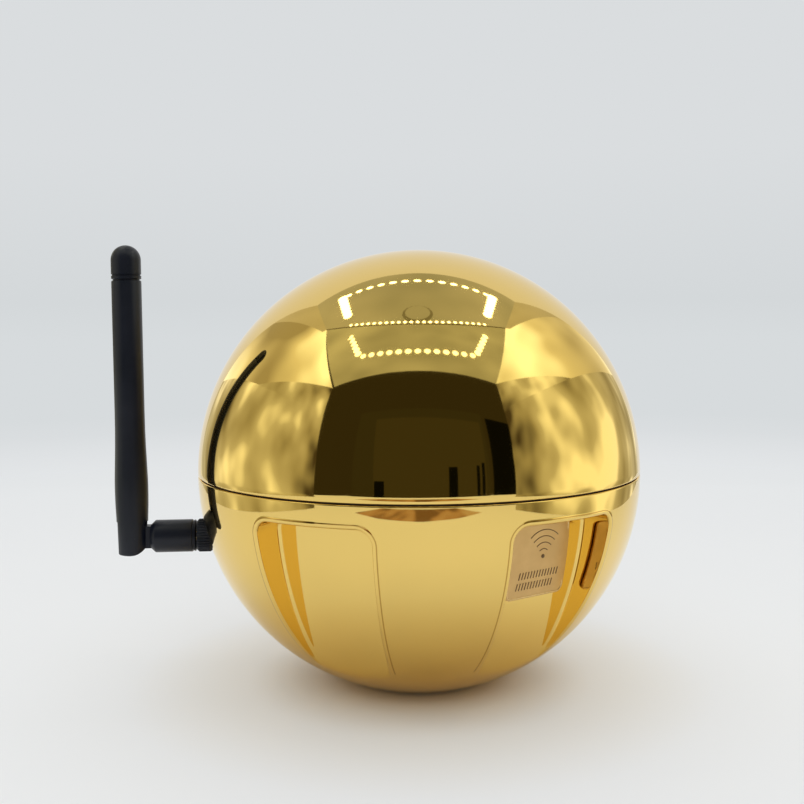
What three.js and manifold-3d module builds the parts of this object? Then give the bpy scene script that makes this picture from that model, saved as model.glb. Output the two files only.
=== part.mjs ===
// A gold mirror-plated ball in two shells, with four recessed pockets in its lower bowl and a hinged,
// swivelling radio antenna on its side. Inside: a chassis, a radio board, a light board and two cells.
// Millimetres. +Z is up, the front is towards -Y and the antenna is on -X. The origin is the middle of the
// rubber pad's lower face, so the ball stands on z = 0.
import * as THREE from "three";
import { mergeVertices } from "three/addons/utils/BufferGeometryUtils.js";
import Module from "manifold-3d";

// ---------------------------------------------------------------- driving dimensions
const BALL_RADIUS = 64;
const CENTRE_HEIGHT = 62; // of the ball's centre, which lies in the seam plane
const WALL = 3;
const SEAM_GAP = 0.4; // between the rims of the two shells

const PAD_RADIUS = 17;
const PAD_THICKNESS = 2;
const PAD_PROUD = 1.1; // how far the pad stands below the bowl's flat base

const POCKET_AZIMUTHS = [-31, 31, 149, 211]; // degrees from the front, positive towards +X
const POCKET_HALF_ANGLE = 15; // its side edges follow the ball's meridians
const POCKET_TOP = -6.3; // ceiling, below the seam plane
const POCKET_FLOOR_TOP = 51.6; // from the ball's axis to the floor, at the ceiling
const POCKET_FOOT = -50.5; // where the floor runs out into the ball, below the seam plane
const POCKET_BULGE = 2.7; // how far the floor bows outwards between those two heights
const POCKET_CORNER = 3.8; // radius of the two upper corners

const SCREW_CIRCLE = 57.2; // radius on which the four shell screws stand
const LABEL = { width: 20, height: 20.8, top: -7.6, shift: 0.6, corner: 2 }; // top from the seam plane

const ANTENNA_HEIGHT = 43.6; // of the connector's axis
const SPOT_FACE = 60.2; // the flat that the connector seats on, from the ball's axis
const HINGE_X = -83.4; // of the antenna's hinge pin
const BLADE_FOOT = 38.6;
const BLADE_TOP = 117.5;
const TIP_TOP = 127.5;

const CHASSIS_BASE = 44;
const CHASSIS_THICKNESS = 2;
const CLEARANCE = 0.3; // between pieces that touch
const ROUND_SIDES = 40; // of the shells
const SMALL_SIDES = 12; // of screws, pins and other small round pieces

// ---------------------------------------------------------------- tools
const wasm = await Module();
wasm.setup();
const radians = THREE.MathUtils.degToRad;

function solid(geometry) {
  const bare = new THREE.BufferGeometry().setAttribute("position", geometry.getAttribute("position"));
  bare.setIndex(geometry.index);
  const merged = mergeVertices(bare, 1e-3);
  return new wasm.Manifold(
    new wasm.Mesh({
      numProp: 3,
      vertProperties: merged.attributes.position.array,
      triVerts: new Uint32Array(merged.index.array),
    }),
  );
}

function surface(body) {
  const mesh = body.getMesh();
  const geometry = new THREE.BufferGeometry();
  geometry.setAttribute("position", new THREE.BufferAttribute(mesh.vertProperties.slice(), 3));
  geometry.setIndex(new THREE.BufferAttribute(mesh.triVerts.slice(), 1));
  return geometry;
}

const cut = (body, ...tools) => tools.reduce((rest, tool) => rest.subtract(tool), body);
const join = (body, ...others) => others.reduce((whole, other) => whole.add(other), body);

// A profile of [radius, height] points turned about Z.
function turned(profile, sides = SMALL_SIDES) {
  const points = profile.map(([radius, height]) => new THREE.Vector2(radius, height));
  return new THREE.LatheGeometry(points, sides).rotateX(Math.PI / 2);
}

const rod = (radius, low, high, sides) =>
  turned([[0, low], [radius, low], [radius, high], [0, high]], sides);

const ring = (inner, outer, low, high, sides) =>
  turned([[inner, low], [outer, low], [outer, high], [inner, high], [inner, low]], sides);

const aimX = (geometry) => geometry.rotateY(Math.PI / 2); // turns +Z to +X
const aimY = (geometry) => geometry.rotateX(-Math.PI / 2); // turns +Z to +Y

function block(low, high) {
  const size = high.map((value, axis) => value - low[axis]);
  const middle = high.map((value, axis) => (value + low[axis]) / 2);
  return new THREE.BoxGeometry(...size).translate(...middle);
}

function roundedRectangle(width, height, corner) {
  const shape = new THREE.Shape();
  const [right, top] = [width / 2 - corner, height / 2 - corner];
  for (const [x, y, start] of [[1, 1, 0], [-1, 1, 90], [-1, -1, 180], [1, -1, 270]])
    shape.absarc(x * right, y * top, corner, radians(start), radians(start + 90));
  return shape;
}

// Convex sections of equal point count, listed upwards, each going round anticlockwise seen from above.
function lofted(sections) {
  const count = sections[0].length;
  const index = [];
  for (let row = 0; row + 1 < sections.length; row++)
    for (let i = 0; i < count; i++) {
      const j = (i + 1) % count;
      const [a, b] = [row * count + i, row * count + j];
      index.push(a, b, b + count, a, b + count, a + count);
    }
  const last = (sections.length - 1) * count;
  for (let i = 1; i + 1 < count; i++) index.push(0, i + 1, i, last, last + i, last + i + 1);
  const geometry = new THREE.BufferGeometry();
  geometry.setAttribute("position", new THREE.Float32BufferAttribute(sections.flat(2), 3));
  return geometry.setIndex(index);
}

// A flexible lead of round section through hand-placed points.
function lead(points, radius, steps = 24) {
  const quarter = 2; // sides in each quarter of the section
  const path = new THREE.CatmullRomCurve3(points.map((p) => new THREE.Vector3(...p)));
  const shape = new THREE.Shape();
  shape.absarc(0, 0, radius, 0, 2 * Math.PI);
  return new THREE.ExtrudeGeometry(shape, {
    steps,
    extrudePath: path,
    bevelEnabled: false,
    curveSegments: quarter * 2,
  });
}

function towards(geometry, azimuth) {
  return geometry.rotateZ(radians(azimuth - 90)); // turns +X to the given azimuth
}

// ---------------------------------------------------------------- materials
const material = (color, roughness, metalness) =>
  new THREE.MeshStandardMaterial({ color, roughness, metalness });
const GOLD = material(0xe8bf55, 0.04, 1);
const LABEL_BRASS = material(0xb98e45, 0.35, 0.9);
const RUBBER = material(0x1c1c1e, 0.75, 0);
const ANTENNA_BLACK = material(0x1b1d22, 0.5, 0);
const BRASS = material(0xd1a850, 0.25, 1);
const STEEL = material(0xb9bcc0, 0.3, 1);
const WHITE_PLASTIC = material(0xe9e9e4, 0.5, 0);
const GREY_PLASTIC = material(0x55585c, 0.55, 0);
const BOARD_GREEN = material(0x1f5a38, 0.5, 0);
const CELL_WRAP = material(0x2d6fae, 0.4, 0);
const CHIP = material(0x202225, 0.5, 0);
const FROSTED = material(0xf4f2ea, 0.6, 0);

const ball = new THREE.Group();
ball.name = "mirror_ball";
function piece(name, geometry, finish, parent = ball) {
  const mesh = new THREE.Mesh(geometry, finish);
  mesh.name = name;
  parent.add(mesh);
  return mesh;
}

// ---------------------------------------------------------------- shells
// Points of an arc about the ball's centre, from one latitude to another.
function meridian(radius, from, to, steps) {
  const points = [];
  for (let i = 0; i <= steps; i++) {
    const latitude = from + ((to - from) * i) / steps;
    points.push([radius * Math.cos(latitude), CENTRE_HEIGHT + radius * Math.sin(latitude)]);
  }
  return points;
}
const latitudeOf = (radius, height) => Math.asin((height - CENTRE_HEIGHT) / radius);

const INNER_RADIUS = BALL_RADIUS - WALL;
const RIM_BEVEL = 0.5;
const DOME_RIM = CENTRE_HEIGHT + SEAM_GAP / 2;
const BOWL_RIM = CENTRE_HEIGHT - SEAM_GAP / 2;
const SEAL = { inner: 62.1, outer: 63, half: 1.2 }; // radii, and half its height
const GROOVE = ring(SEAL.inner - CLEARANCE, SEAL.outer + CLEARANCE,
  CENTRE_HEIGHT - SEAL.half - CLEARANCE, CENTRE_HEIGHT + SEAL.half + CLEARANCE, ROUND_SIDES);

const SHELL_SCREW = { shank: 1.4, length: 17, head: 2.6, headHeight: 1.7 };
const SCREW_AZIMUTHS = POCKET_AZIMUTHS;

function domeShell() {
  const outer = meridian(BALL_RADIUS, latitudeOf(BALL_RADIUS, DOME_RIM + RIM_BEVEL), Math.PI / 2, 9);
  const inner = meridian(INNER_RADIUS, Math.PI / 2, latitudeOf(INNER_RADIUS, DOME_RIM), 7);
  const [[rimRadius]] = outer;
  const start = [rimRadius - RIM_BEVEL, DOME_RIM];
  outer.at(-1)[0] = inner[0][0] = 0;
  const shell = solid(turned([start, ...outer, ...inner, start], ROUND_SIDES));
  const bossRadius = 3.9;
  const bossTop = DOME_RIM + 15;
  const keepIn = solid(rod(BALL_RADIUS - WALL / 2, DOME_RIM - 1, bossTop + 1, ROUND_SIDES));
  let dome = cut(shell, solid(GROOVE));
  for (const azimuth of SCREW_AZIMUTHS) {
    const place = (geometry) => solid(towards(geometry.translate(SCREW_CIRCLE, 0, 0), azimuth));
    const midWall = solid(turned(meridian(BALL_RADIUS - WALL / 2, -Math.PI / 2, Math.PI / 2, 20)
      .map(([radius, height]) => [Math.max(radius, 0), height]), ROUND_SIDES));
    const boss = place(rod(bossRadius, DOME_RIM + 0.2, bossTop)).intersect(keepIn).intersect(midWall);
    const bore = place(rod(SHELL_SCREW.shank + CLEARANCE, DOME_RIM - 1, DOME_RIM + 13));
    dome = cut(join(dome, boss), bore);
  }
  return surface(dome);
}

// The pocket's floor: an arc in the plane through the ball's axis, bowed outwards by POCKET_BULGE.
const FLOOR_ARC = (() => {
  const foot = new THREE.Vector2(Math.sqrt(BALL_RADIUS ** 2 - POCKET_FOOT ** 2), POCKET_FOOT);
  const top = new THREE.Vector2(POCKET_FLOOR_TOP, POCKET_TOP);
  const chord = top.clone().sub(foot);
  const radius = chord.lengthSq() / (8 * POCKET_BULGE) + POCKET_BULGE / 2;
  const inwards = new THREE.Vector2(-chord.y, chord.x).normalize();
  const centre = foot.clone().add(top).multiplyScalar(0.5);
  centre.addScaledVector(inwards, radius - POCKET_BULGE);
  return { centre, radius };
})();
const floorAt = (height) =>
  FLOOR_ARC.centre.x + Math.sqrt(FLOOR_ARC.radius ** 2 - (height - FLOOR_ARC.centre.y) ** 2);

// The space of one pocket, grown on every side by a wall when it is the pocket's own shell that is wanted.
function pocketSpace(azimuth, grown, ceiling, corner) {
  const beyond = BALL_RADIUS + 6;
  const edge = Math.sin(radians(POCKET_HALF_ANGLE));
  const section = (height, narrowing) => {
    const half = edge * Math.sqrt(BALL_RADIUS ** 2 - Math.min(height, 0) ** 2) - narrowing + grown;
    const floor = floorAt(height) - grown;
    const z = CENTRE_HEIGHT + height;
    return [[floor, -half, z], [beyond, -half, z], [beyond, half, z], [floor, half, z]];
  };
  const straightRows = 6;
  const cornerRows = 3;
  const sections = [];
  const foot = POCKET_FOOT - 1;
  for (let row = 0; row < straightRows; row++)
    sections.push(section(foot + ((ceiling - corner - foot) * row) / straightRows, 0));
  for (let row = 0; row <= cornerRows; row++) {
    const angle = (Math.PI / 2) * (row / cornerRows);
    sections.push(section(ceiling - corner + corner * Math.sin(angle), corner * (1 - Math.cos(angle))));
  }
  return solid(towards(lofted(sections), azimuth));
}

const BASE_HEIGHT = PAD_PROUD;
const BASE_THICKNESS = 3.4;
const PILLARS = [[-18, -27], [18, -27], [18, 27], [-18, 27]];
const PILLAR_RADIUS = 4;
const M3 = { shank: 1.3, head: 2.7, headHeight: 1.9 };
const IO_BOSSES = [[-7, 43.5], [7, 43.5]]; // x and z of the rear board's two bosses
const IO_BOARD_Y = 46.4;
const IO_BOARD_THICKNESS = 1.6;
const BUTTON = { height: 50, radius: 3.9 };
const SOCKET = { height: 38, halfWidth: 4.5, halfHeight: 1.6, front: 58.4 };
const JACK_THREAD = 3.1;
const JACK_FLANGE = 4.3;
const JACK_PAD_DEPTH = 3.9;

function bowlShell() {
  const outer = meridian(BALL_RADIUS, latitudeOf(BALL_RADIUS, BASE_HEIGHT),
    latitudeOf(BALL_RADIUS, BOWL_RIM - RIM_BEVEL), 9);
  const rim = [outer.at(-1)[0] - RIM_BEVEL, BOWL_RIM];
  const hull = solid(turned([[0, BASE_HEIGHT], ...outer, rim, [0, BOWL_RIM]], ROUND_SIDES));
  const floorHeight = BASE_HEIGHT + BASE_THICKNESS;
  const inner = meridian(INNER_RADIUS, latitudeOf(INNER_RADIUS, floorHeight), 0, 7);
  const roof = CENTRE_HEIGHT + 4;
  let cavity = solid(turned([[0, floorHeight], ...inner, [INNER_RADIUS, roof], [0, roof]], ROUND_SIDES));
  for (const azimuth of POCKET_AZIMUTHS) cavity = cavity.subtract(pocketSpace(azimuth, WALL, 8, 1));
  for (const [x, y] of PILLARS)
    cavity = cavity.subtract(solid(rod(PILLAR_RADIUS, 0, CHASSIS_BASE - CLEARANCE).translate(x, y, 0)));
  const bossEnd = IO_BOARD_Y + IO_BOARD_THICKNESS + CLEARANCE;
  for (const [x, z] of IO_BOSSES)
    cavity = cavity.subtract(solid(aimY(rod(2.6, bossEnd, BALL_RADIUS)).translate(x, 0, z)));
  const jackPad = aimX(rod(10, -BALL_RADIUS, -SPOT_FACE + JACK_PAD_DEPTH, 20));
  cavity = cavity.subtract(solid(jackPad.translate(0, 0, ANTENNA_HEIGHT)));

  const atJack = (geometry) => solid(aimX(geometry).translate(0, 0, ANTENNA_HEIGHT));
  const openings = [
    solid(GROOVE),
    solid(rod(PAD_RADIUS + CLEARANCE, -1, PAD_THICKNESS + CLEARANCE, 32)),
    atJack(rod(7.6, -BALL_RADIUS - 2, -SPOT_FACE, 32)),
    atJack(rod(JACK_FLANGE + CLEARANCE, -SPOT_FACE - 1, -SPOT_FACE + 1.4, 20)),
    atJack(rod(JACK_THREAD + CLEARANCE, -BALL_RADIUS, -50, 20)),
    solid(aimY(rod(BUTTON.radius + CLEARANCE, 50, BALL_RADIUS + 2, 24)).translate(0, 0, BUTTON.height)),
    solid(block(
      [-SOCKET.halfWidth - CLEARANCE, 54, SOCKET.height - SOCKET.halfHeight - CLEARANCE],
      [SOCKET.halfWidth + CLEARANCE, BALL_RADIUS, SOCKET.height + SOCKET.halfHeight + CLEARANCE])),
  ];
  for (const azimuth of POCKET_AZIMUTHS)
    openings.push(pocketSpace(azimuth, 0, POCKET_TOP, POCKET_CORNER));
  for (const azimuth of SCREW_AZIMUTHS) {
    const place = (geometry) => solid(towards(geometry.translate(SCREW_CIRCLE, 0, 0), azimuth));
    const ceiling = CENTRE_HEIGHT + POCKET_TOP;
    openings.push(place(rod(SHELL_SCREW.head + CLEARANCE, ceiling - 1, ceiling + 2.6)));
    openings.push(place(rod(SHELL_SCREW.shank + CLEARANCE, ceiling, BOWL_RIM + 1)));
  }
  for (const [x, y] of PILLARS)
    openings.push(solid(rod(M3.shank + CLEARANCE, CHASSIS_BASE - 11, CHASSIS_BASE).translate(x, y, 0)));
  for (const [x, z] of IO_BOSSES)
    openings.push(solid(aimY(rod(1.2, bossEnd - 1, bossEnd + 4.6)).translate(x, 0, z)));
  return surface(cut(hull, cavity, ...openings));
}

piece("dome_shell", domeShell(), GOLD);
piece("bowl_shell", bowlShell(), GOLD);
piece("seam_seal", ring(SEAL.inner, SEAL.outer, CENTRE_HEIGHT - SEAL.half, CENTRE_HEIGHT + SEAL.half,
  ROUND_SIDES), RUBBER);
piece("base_pad", rod(PAD_RADIUS, 0, PAD_THICKNESS, 32), RUBBER);

// A screw with a socket head, pointing along +Z, its head below z = 0.
function screw({ shank, head, headHeight }, length) {
  const socketRadius = head * 0.45;
  const socketDepth = headHeight * 0.6;
  const edge = headHeight * 0.2;
  return turned([
    [0, -headHeight + socketDepth], [socketRadius, -headHeight + socketDepth], [socketRadius, -headHeight],
    [head - edge, -headHeight], [head, -headHeight + edge], [head, 0], [shank, 0],
    [shank, length - shank], [shank * 0.4, length], [0, length],
  ], 8);
}

SCREW_AZIMUTHS.forEach((azimuth, i) => {
  const seat = CENTRE_HEIGHT + POCKET_TOP + 2.6 - CLEARANCE;
  const body = screw(SHELL_SCREW, SHELL_SCREW.length).translate(SCREW_CIRCLE, 0, seat);
  piece(`dome_screw_${i + 1}`, towards(body, azimuth), STEEL);
});

// ---------------------------------------------------------------- label, in the front pocket towards +X
function labelPlate() {
  const thickness = 0.5;
  const { width, height: tall, top, shift, corner } = LABEL;
  const rows = 6;
  const sections = [];
  for (let row = 0; row <= rows; row++) {
    const height = top - tall + (tall * row) / rows;
    const back = floorAt(height) + CLEARANCE;
    const z = CENTRE_HEIGHT + height;
    const [near, far] = [shift - width / 2, shift + width / 2];
    const front = back + thickness;
    sections.push([[back, near, z], [front, near, z], [front, far, z], [back, far, z]]);
  }
  const outline = new THREE.ExtrudeGeometry(roundedRectangle(tall, width, corner), {
    depth: 20, bevelEnabled: false, curveSegments: 4,
  });
  aimX(outline).translate(POCKET_FLOOR_TOP - 12, shift, CENTRE_HEIGHT + top - tall / 2);
  return towards(surface(solid(lofted(sections)).intersect(solid(outline))), POCKET_AZIMUTHS[1]);
}
piece("label_plate", labelPlate(), LABEL_BRASS);

// ---------------------------------------------------------------- connector, on the ball's -X side
const connector = new THREE.Group();
connector.position.z = ANTENNA_HEIGHT;
ball.add(connector);

const FLANGE_SEAT = -SPOT_FACE + 1.4 - CLEARANCE;
const JACK_TIP = -63.4;
const jackProfile = [
  [2, JACK_TIP], [JACK_THREAD, JACK_TIP], [JACK_THREAD, FLANGE_SEAT - 0.9], [JACK_FLANGE, FLANGE_SEAT - 0.9],
  [JACK_FLANGE, FLANGE_SEAT], [JACK_THREAD, FLANGE_SEAT], [JACK_THREAD, -50], [2, -50], [2, JACK_TIP],
];
const INNER_FACE = -SPOT_FACE + JACK_PAD_DEPTH;
piece("jack_body", aimX(turned(jackProfile, 20)), BRASS, connector);
piece("jack_insulator", aimX(ring(0.8, 1.7, -63, -51)), WHITE_PLASTIC, connector);
piece("jack_contact", aimX(rod(0.5, -60.4, -50.4)), BRASS, connector);
piece("jack_washer", aimX(ring(3.4, 5.2, INNER_FACE + 0.3, INNER_FACE + 0.9, 20)), STEEL, connector);
const hexNut = cut(
  solid(rod(4.8, INNER_FACE + 1.2, INNER_FACE + 3.4, 6)),
  solid(rod(JACK_THREAD + CLEARANCE, INNER_FACE, INNER_FACE + 5, 20)),
);
piece("jack_nut", aimX(surface(hexNut)), STEEL, connector);

// ---------------------------------------------------------------- antenna
const NUT = { radius: 4.8, inner: -60.5, outer: -64.8 };
const KNUCKLE = { radius: 4.7, inner: -65.1, outer: -78.1 };
const PIN_RADIUS = 1.2;
const PIN_HOLE = 1.45;
const TONGUE = { half: 1.8, radius: 3.6 };
const FORK_SLOT = 2.15; // half of the gap between the blade's ears
const FOLD_RADIUS = 4.9; // the ears' reach from the pin, on the side that faces the knuckle

function antennaNut() {
  const flutes = 24;
  const groove = 0.22;
  const points = [];
  for (let i = 0; i < flutes * 2; i++) {
    const angle = (Math.PI * i) / flutes;
    const radius = NUT.radius - (i % 2 ? groove : 0);
    points.push(new THREE.Vector2(radius * Math.cos(angle), radius * Math.sin(angle)));
  }
  const knurled = new THREE.ExtrudeGeometry(new THREE.Shape(points), {
    depth: NUT.inner - NUT.outer, bevelEnabled: false,
  }).translate(0, 0, NUT.outer);
  const threadBore = rod(JACK_THREAD + CLEARANCE, NUT.outer + 0.4, NUT.inner + 1, 20);
  const collarBore = rod(2.5, NUT.outer - 1, NUT.inner, 20);
  return aimX(surface(cut(solid(knurled), solid(threadBore), solid(collarBore))));
}

function antennaKnuckle() {
  const chamfer = 1.2;
  const profile = [
    [0, KNUCKLE.outer], [KNUCKLE.radius - chamfer, KNUCKLE.outer],
    [KNUCKLE.radius, KNUCKLE.outer + chamfer], [KNUCKLE.radius, KNUCKLE.inner], [0, KNUCKLE.inner],
  ];
  const barrel = solid(aimX(turned(profile, 28)));
  const neck = solid(block([HINGE_X, -TONGUE.half, -TONGUE.radius],
    [KNUCKLE.outer + 1, TONGUE.half, TONGUE.radius]));
  const eye = solid(aimY(rod(TONGUE.radius, -TONGUE.half, TONGUE.half, 24)).translate(HINGE_X, 0, 0));
  const bore = solid(aimX(rod(2.5, -75, KNUCKLE.inner + 1, 20)));
  const pinHole = solid(aimY(rod(PIN_HOLE, -5, 5, 16)).translate(HINGE_X, 0, 0));
  return surface(cut(join(barrel, neck, eye), bore, pinHole));
}

function antennaBlade() {
  const foot = BLADE_FOOT - ANTENNA_HEIGHT;
  const top = BLADE_TOP - ANTENNA_HEIGHT;
  const outline = [
    [0, foot], [3.9, foot], [4.35, foot + 0.6], [4.5, 5.4], [4.65, 9], [4.72, 13], [4.7, 16.4], [4.56, 20.5],
    [4.36, 26], [4.24, 31], [4.2, 37], [4.2, top - 0.4], [3.9, top], [0, top],
  ];
  const sleeve = solid(turned(outline, 28));
  const slot = solid(block([-8, -FORK_SLOT, foot - 1], [8, FORK_SLOT, 4.6]));
  const bore = solid(rod(2.4, 7.2, top + 1, 20));
  const corner = cut(
    solid(block([0, -8, -8], [8, 8, 0])),
    solid(aimY(rod(FOLD_RADIUS, -9, 9, 40))),
  );
  const pinHole = solid(aimY(rod(PIN_HOLE, -6, 6, 16)));
  return surface(cut(sleeve, slot, bore, corner, pinHole));
}

function antennaTip() {
  const radius = 4.2;
  const seat = BLADE_TOP + CLEARANCE - ANTENNA_HEIGHT;
  const crown = TIP_TOP - radius - ANTENNA_HEIGHT;
  const profile = [[0, seat - 5], [2.1, seat - 5], [2.1, seat], [radius - 0.3, seat], [radius, seat + 0.4]];
  const steps = 6;
  for (let i = 0; i <= steps; i++) {
    const angle = (Math.PI / 2) * (i / steps);
    profile.push([i < steps ? radius * Math.cos(angle) : 0, crown + radius * Math.sin(angle)]);
  }
  return turned(profile, 28);
}

piece("antenna_nut", antennaNut(), ANTENNA_BLACK, connector);
const ferrule = [
  [0.9, -74.7], [2.2, -74.7], [2.2, -64.1], [3, -64.1], [3, -63.7], [0.9, -63.7], [0.9, -74.7],
];
piece("antenna_ferrule", aimX(turned(ferrule, 20)), BRASS, connector);
piece("antenna_contact", aimX(rod(0.5, -74, -60.8)), BRASS, connector);
piece("antenna_knuckle", antennaKnuckle(), ANTENNA_BLACK, connector);

const blade = new THREE.Group();
blade.position.x = HINGE_X;
connector.add(blade);
piece("antenna_blade", antennaBlade(), ANTENNA_BLACK, blade);
piece("antenna_tip", antennaTip(), ANTENNA_BLACK, blade);
piece("antenna_radiator", rod(1, 8, 67), BRASS, blade);
piece("hinge_pin", aimY(rod(PIN_RADIUS, -4.3, 4.3, 16)), STEEL, blade);

// ---------------------------------------------------------------- chassis and cells
const CHASSIS_TOP = CHASSIS_BASE + CHASSIS_THICKNESS;
const CHASSIS_RADIUS = 44;
const STANDOFFS = [[-21, -16], [21, -16], [21, 16], [-21, 16]];
const STANDOFF_TOP = CHASSIS_TOP + 4;
const TRAY_SCREWS = [-35.8, 35.8]; // along X
const LIGHT_POSTS = [90, 210, 330];
const LIGHT_POST_CIRCLE = 34;
const M2 = { shank: 0.9, head: 1.8, headHeight: 1.4 };

function chassisPlate() {
  let plate = solid(rod(CHASSIS_RADIUS, CHASSIS_BASE, CHASSIS_TOP, 40));
  for (const [x, y] of STANDOFFS)
    plate = join(plate, solid(rod(2.6, CHASSIS_BASE, STANDOFF_TOP).translate(x, y, 0)));
  const hole = (radius, x, y) => solid(rod(radius, CHASSIS_BASE - 1, STANDOFF_TOP + 1).translate(x, y, 0));
  const holes = [
    solid(block([-CHASSIS_RADIUS - 1, -5, CHASSIS_BASE - 1], [-37, 5, CHASSIS_TOP + 1])),
    solid(block([26, -6, CHASSIS_BASE - 1], [31, 6, CHASSIS_TOP + 1])),
  ];
  for (const [x, y] of PILLARS) holes.push(hole(M3.shank + CLEARANCE, x, y));
  for (const [x, y] of STANDOFFS) holes.push(hole(M2.shank + CLEARANCE, x, y));
  for (const x of TRAY_SCREWS) holes.push(hole(M2.shank + CLEARANCE, x, 8));
  return surface(cut(plate, ...holes));
}
piece("chassis_plate", chassisPlate(), GREY_PLASTIC);

// Screws that point down have their heads on top.
const pointDown = (geometry, x, y, z) => geometry.rotateX(Math.PI).translate(x, y, z + CLEARANCE);
PILLARS.forEach(([x, y], i) => {
  piece(`chassis_screw_${i + 1}`, pointDown(screw(M3, 10), x, y, CHASSIS_TOP), STEEL);
});
TRAY_SCREWS.forEach((x, i) => {
  piece(`tray_screw_${i + 1}`, pointDown(screw(M2, 8), x, 8, CHASSIS_TOP), STEEL);
});

const CELL = { radius: 9.2, length: 65, spacing: 19.6 };
const TRAY = { base: 20.5, wall: 2, halfWidth: 20.6, end: 4.6 };
function batteryTray() {
  const inside = CELL.length / 2 + 1;
  const reach = inside + TRAY.end;
  const top = CHASSIS_BASE - CLEARANCE;
  const body = solid(block([-reach, -TRAY.halfWidth, TRAY.base], [reach, TRAY.halfWidth, top]));
  const well = solid(block([-inside, -TRAY.halfWidth + TRAY.wall, TRAY.base + TRAY.wall],
    [inside, TRAY.halfWidth - TRAY.wall, top + 1]));
  const sides = solid(block([-inside + 6, -TRAY.halfWidth - 1, TRAY.base + 14],
    [inside - 6, TRAY.halfWidth + 1, top + 1]));
  const holes = TRAY_SCREWS.map((x) =>
    solid(rod(M2.shank + CLEARANCE, top - 7.5, top + 1).translate(x, 8, 0)));
  return surface(cut(body, well, sides, ...holes));
}
piece("battery_tray", batteryTray(), GREY_PLASTIC);
function batteryCell(y) {
  const half = CELL.length / 2;
  const profile = [
    [0, -half], [CELL.radius, -half], [CELL.radius, half - 1], [CELL.radius - 1, half - 1],
    [3, half - 1], [3, half], [0, half],
  ];
  const height = TRAY.base + TRAY.wall + CELL.radius + CLEARANCE;
  return aimX(turned(profile, 20)).translate(0, y, height);
}
piece("battery_cell_1", batteryCell(-CELL.spacing / 2 + 0.4), CELL_WRAP);
piece("battery_cell_2", batteryCell(CELL.spacing / 2 - 0.4), CELL_WRAP);

// ---------------------------------------------------------------- boards
const BOARD_BASE = STANDOFF_TOP + CLEARANCE;
const BOARD_TOP = BOARD_BASE + 1.6;
const ON_BOARD = BOARD_TOP + CLEARANCE;
function mainBoard() {
  const plate = solid(block([-25, -19.5, BOARD_BASE], [25, 19.5, BOARD_TOP]));
  const holes = STANDOFFS.map(([x, y]) =>
    solid(rod(M2.shank + CLEARANCE, BOARD_BASE - 1, BOARD_TOP + 1).translate(x, y, 0)));
  return surface(cut(plate, ...holes));
}
piece("main_board", mainBoard(), BOARD_GREEN);
STANDOFFS.forEach(([x, y], i) => {
  piece(`board_screw_${i + 1}`, pointDown(screw(M2, 5.4), x, y, BOARD_TOP), STEEL);
});
piece("processor", block([6, -6, ON_BOARD], [18, 6, ON_BOARD + 1.2]), CHIP);
piece("radio_module", block([-23, -4, ON_BOARD], [-1, 12, ON_BOARD + 0.8]), BOARD_GREEN);
const ON_MODULE = ON_BOARD + 0.8 + CLEARANCE;
piece("radio_shield", block([-16, -2.5, ON_MODULE], [-3, 10.5, ON_MODULE + 2.2]), STEEL);
const plugHeight = ON_MODULE + 0.9;
piece("coax_plug", surface(join(
  solid(rod(1.5, ON_MODULE, ON_MODULE + 1.5).translate(-20, 4, 0)),
  solid(aimX(rod(0.8, -23.4, -20, 10)).translate(0, 4, plugHeight)),
)), BRASS);
piece("coax_lead", lead([
  [-49.6, 0, ANTENNA_HEIGHT], [-46.5, 0, ANTENNA_HEIGHT], [-42.8, 0, 45.4], [-40.6, 0.6, 49],
  [-37.4, 1.6, 52.6], [-32.6, 3, 54.4], [-27.6, 4, plugHeight + 0.2], [-23.8, 4, plugHeight],
], 0.9, 22), CHIP);

// The rear board carries the push switch and the charging socket.
function ioBoard() {
  const back = IO_BOARD_Y + IO_BOARD_THICKNESS;
  const plate = solid(block([-7.8, IO_BOARD_Y, 34.6], [7.8, back, 55]));
  const holes = IO_BOSSES.map(([x, z]) =>
    solid(aimY(rod(M2.shank + CLEARANCE, IO_BOARD_Y - 1, back + 1)).translate(x, 0, z)));
  return surface(cut(plate, ...holes));
}
piece("io_board", ioBoard(), BOARD_GREEN);
IO_BOSSES.forEach(([x, z], i) => {
  const body = aimY(screw(M2, 5.4)).translate(x, IO_BOARD_Y - CLEARANCE, z);
  piece(`io_screw_${i + 1}`, body, STEEL);
});
const ON_IO = IO_BOARD_Y + IO_BOARD_THICKNESS + CLEARANCE;
piece("switch_body", block([-3, ON_IO, BUTTON.height - 3], [3, ON_IO + 2.8, BUTTON.height + 3]), CHIP);
const PRESS = 1; // the button's travel
const buttonProfile = [
  [0, ON_IO + 2.8 + CLEARANCE + PRESS], [1.5, ON_IO + 2.8 + CLEARANCE + PRESS], [1.5, 56.6], [5.2, 56.6],
  [5.2, 57.5], [BUTTON.radius, 57.5], [BUTTON.radius, 63], [BUTTON.radius - 0.5, 63.5], [0, 63.6],
];
piece("power_button", aimY(turned(buttonProfile, 24)).translate(0, 0, BUTTON.height), BRASS);

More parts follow.
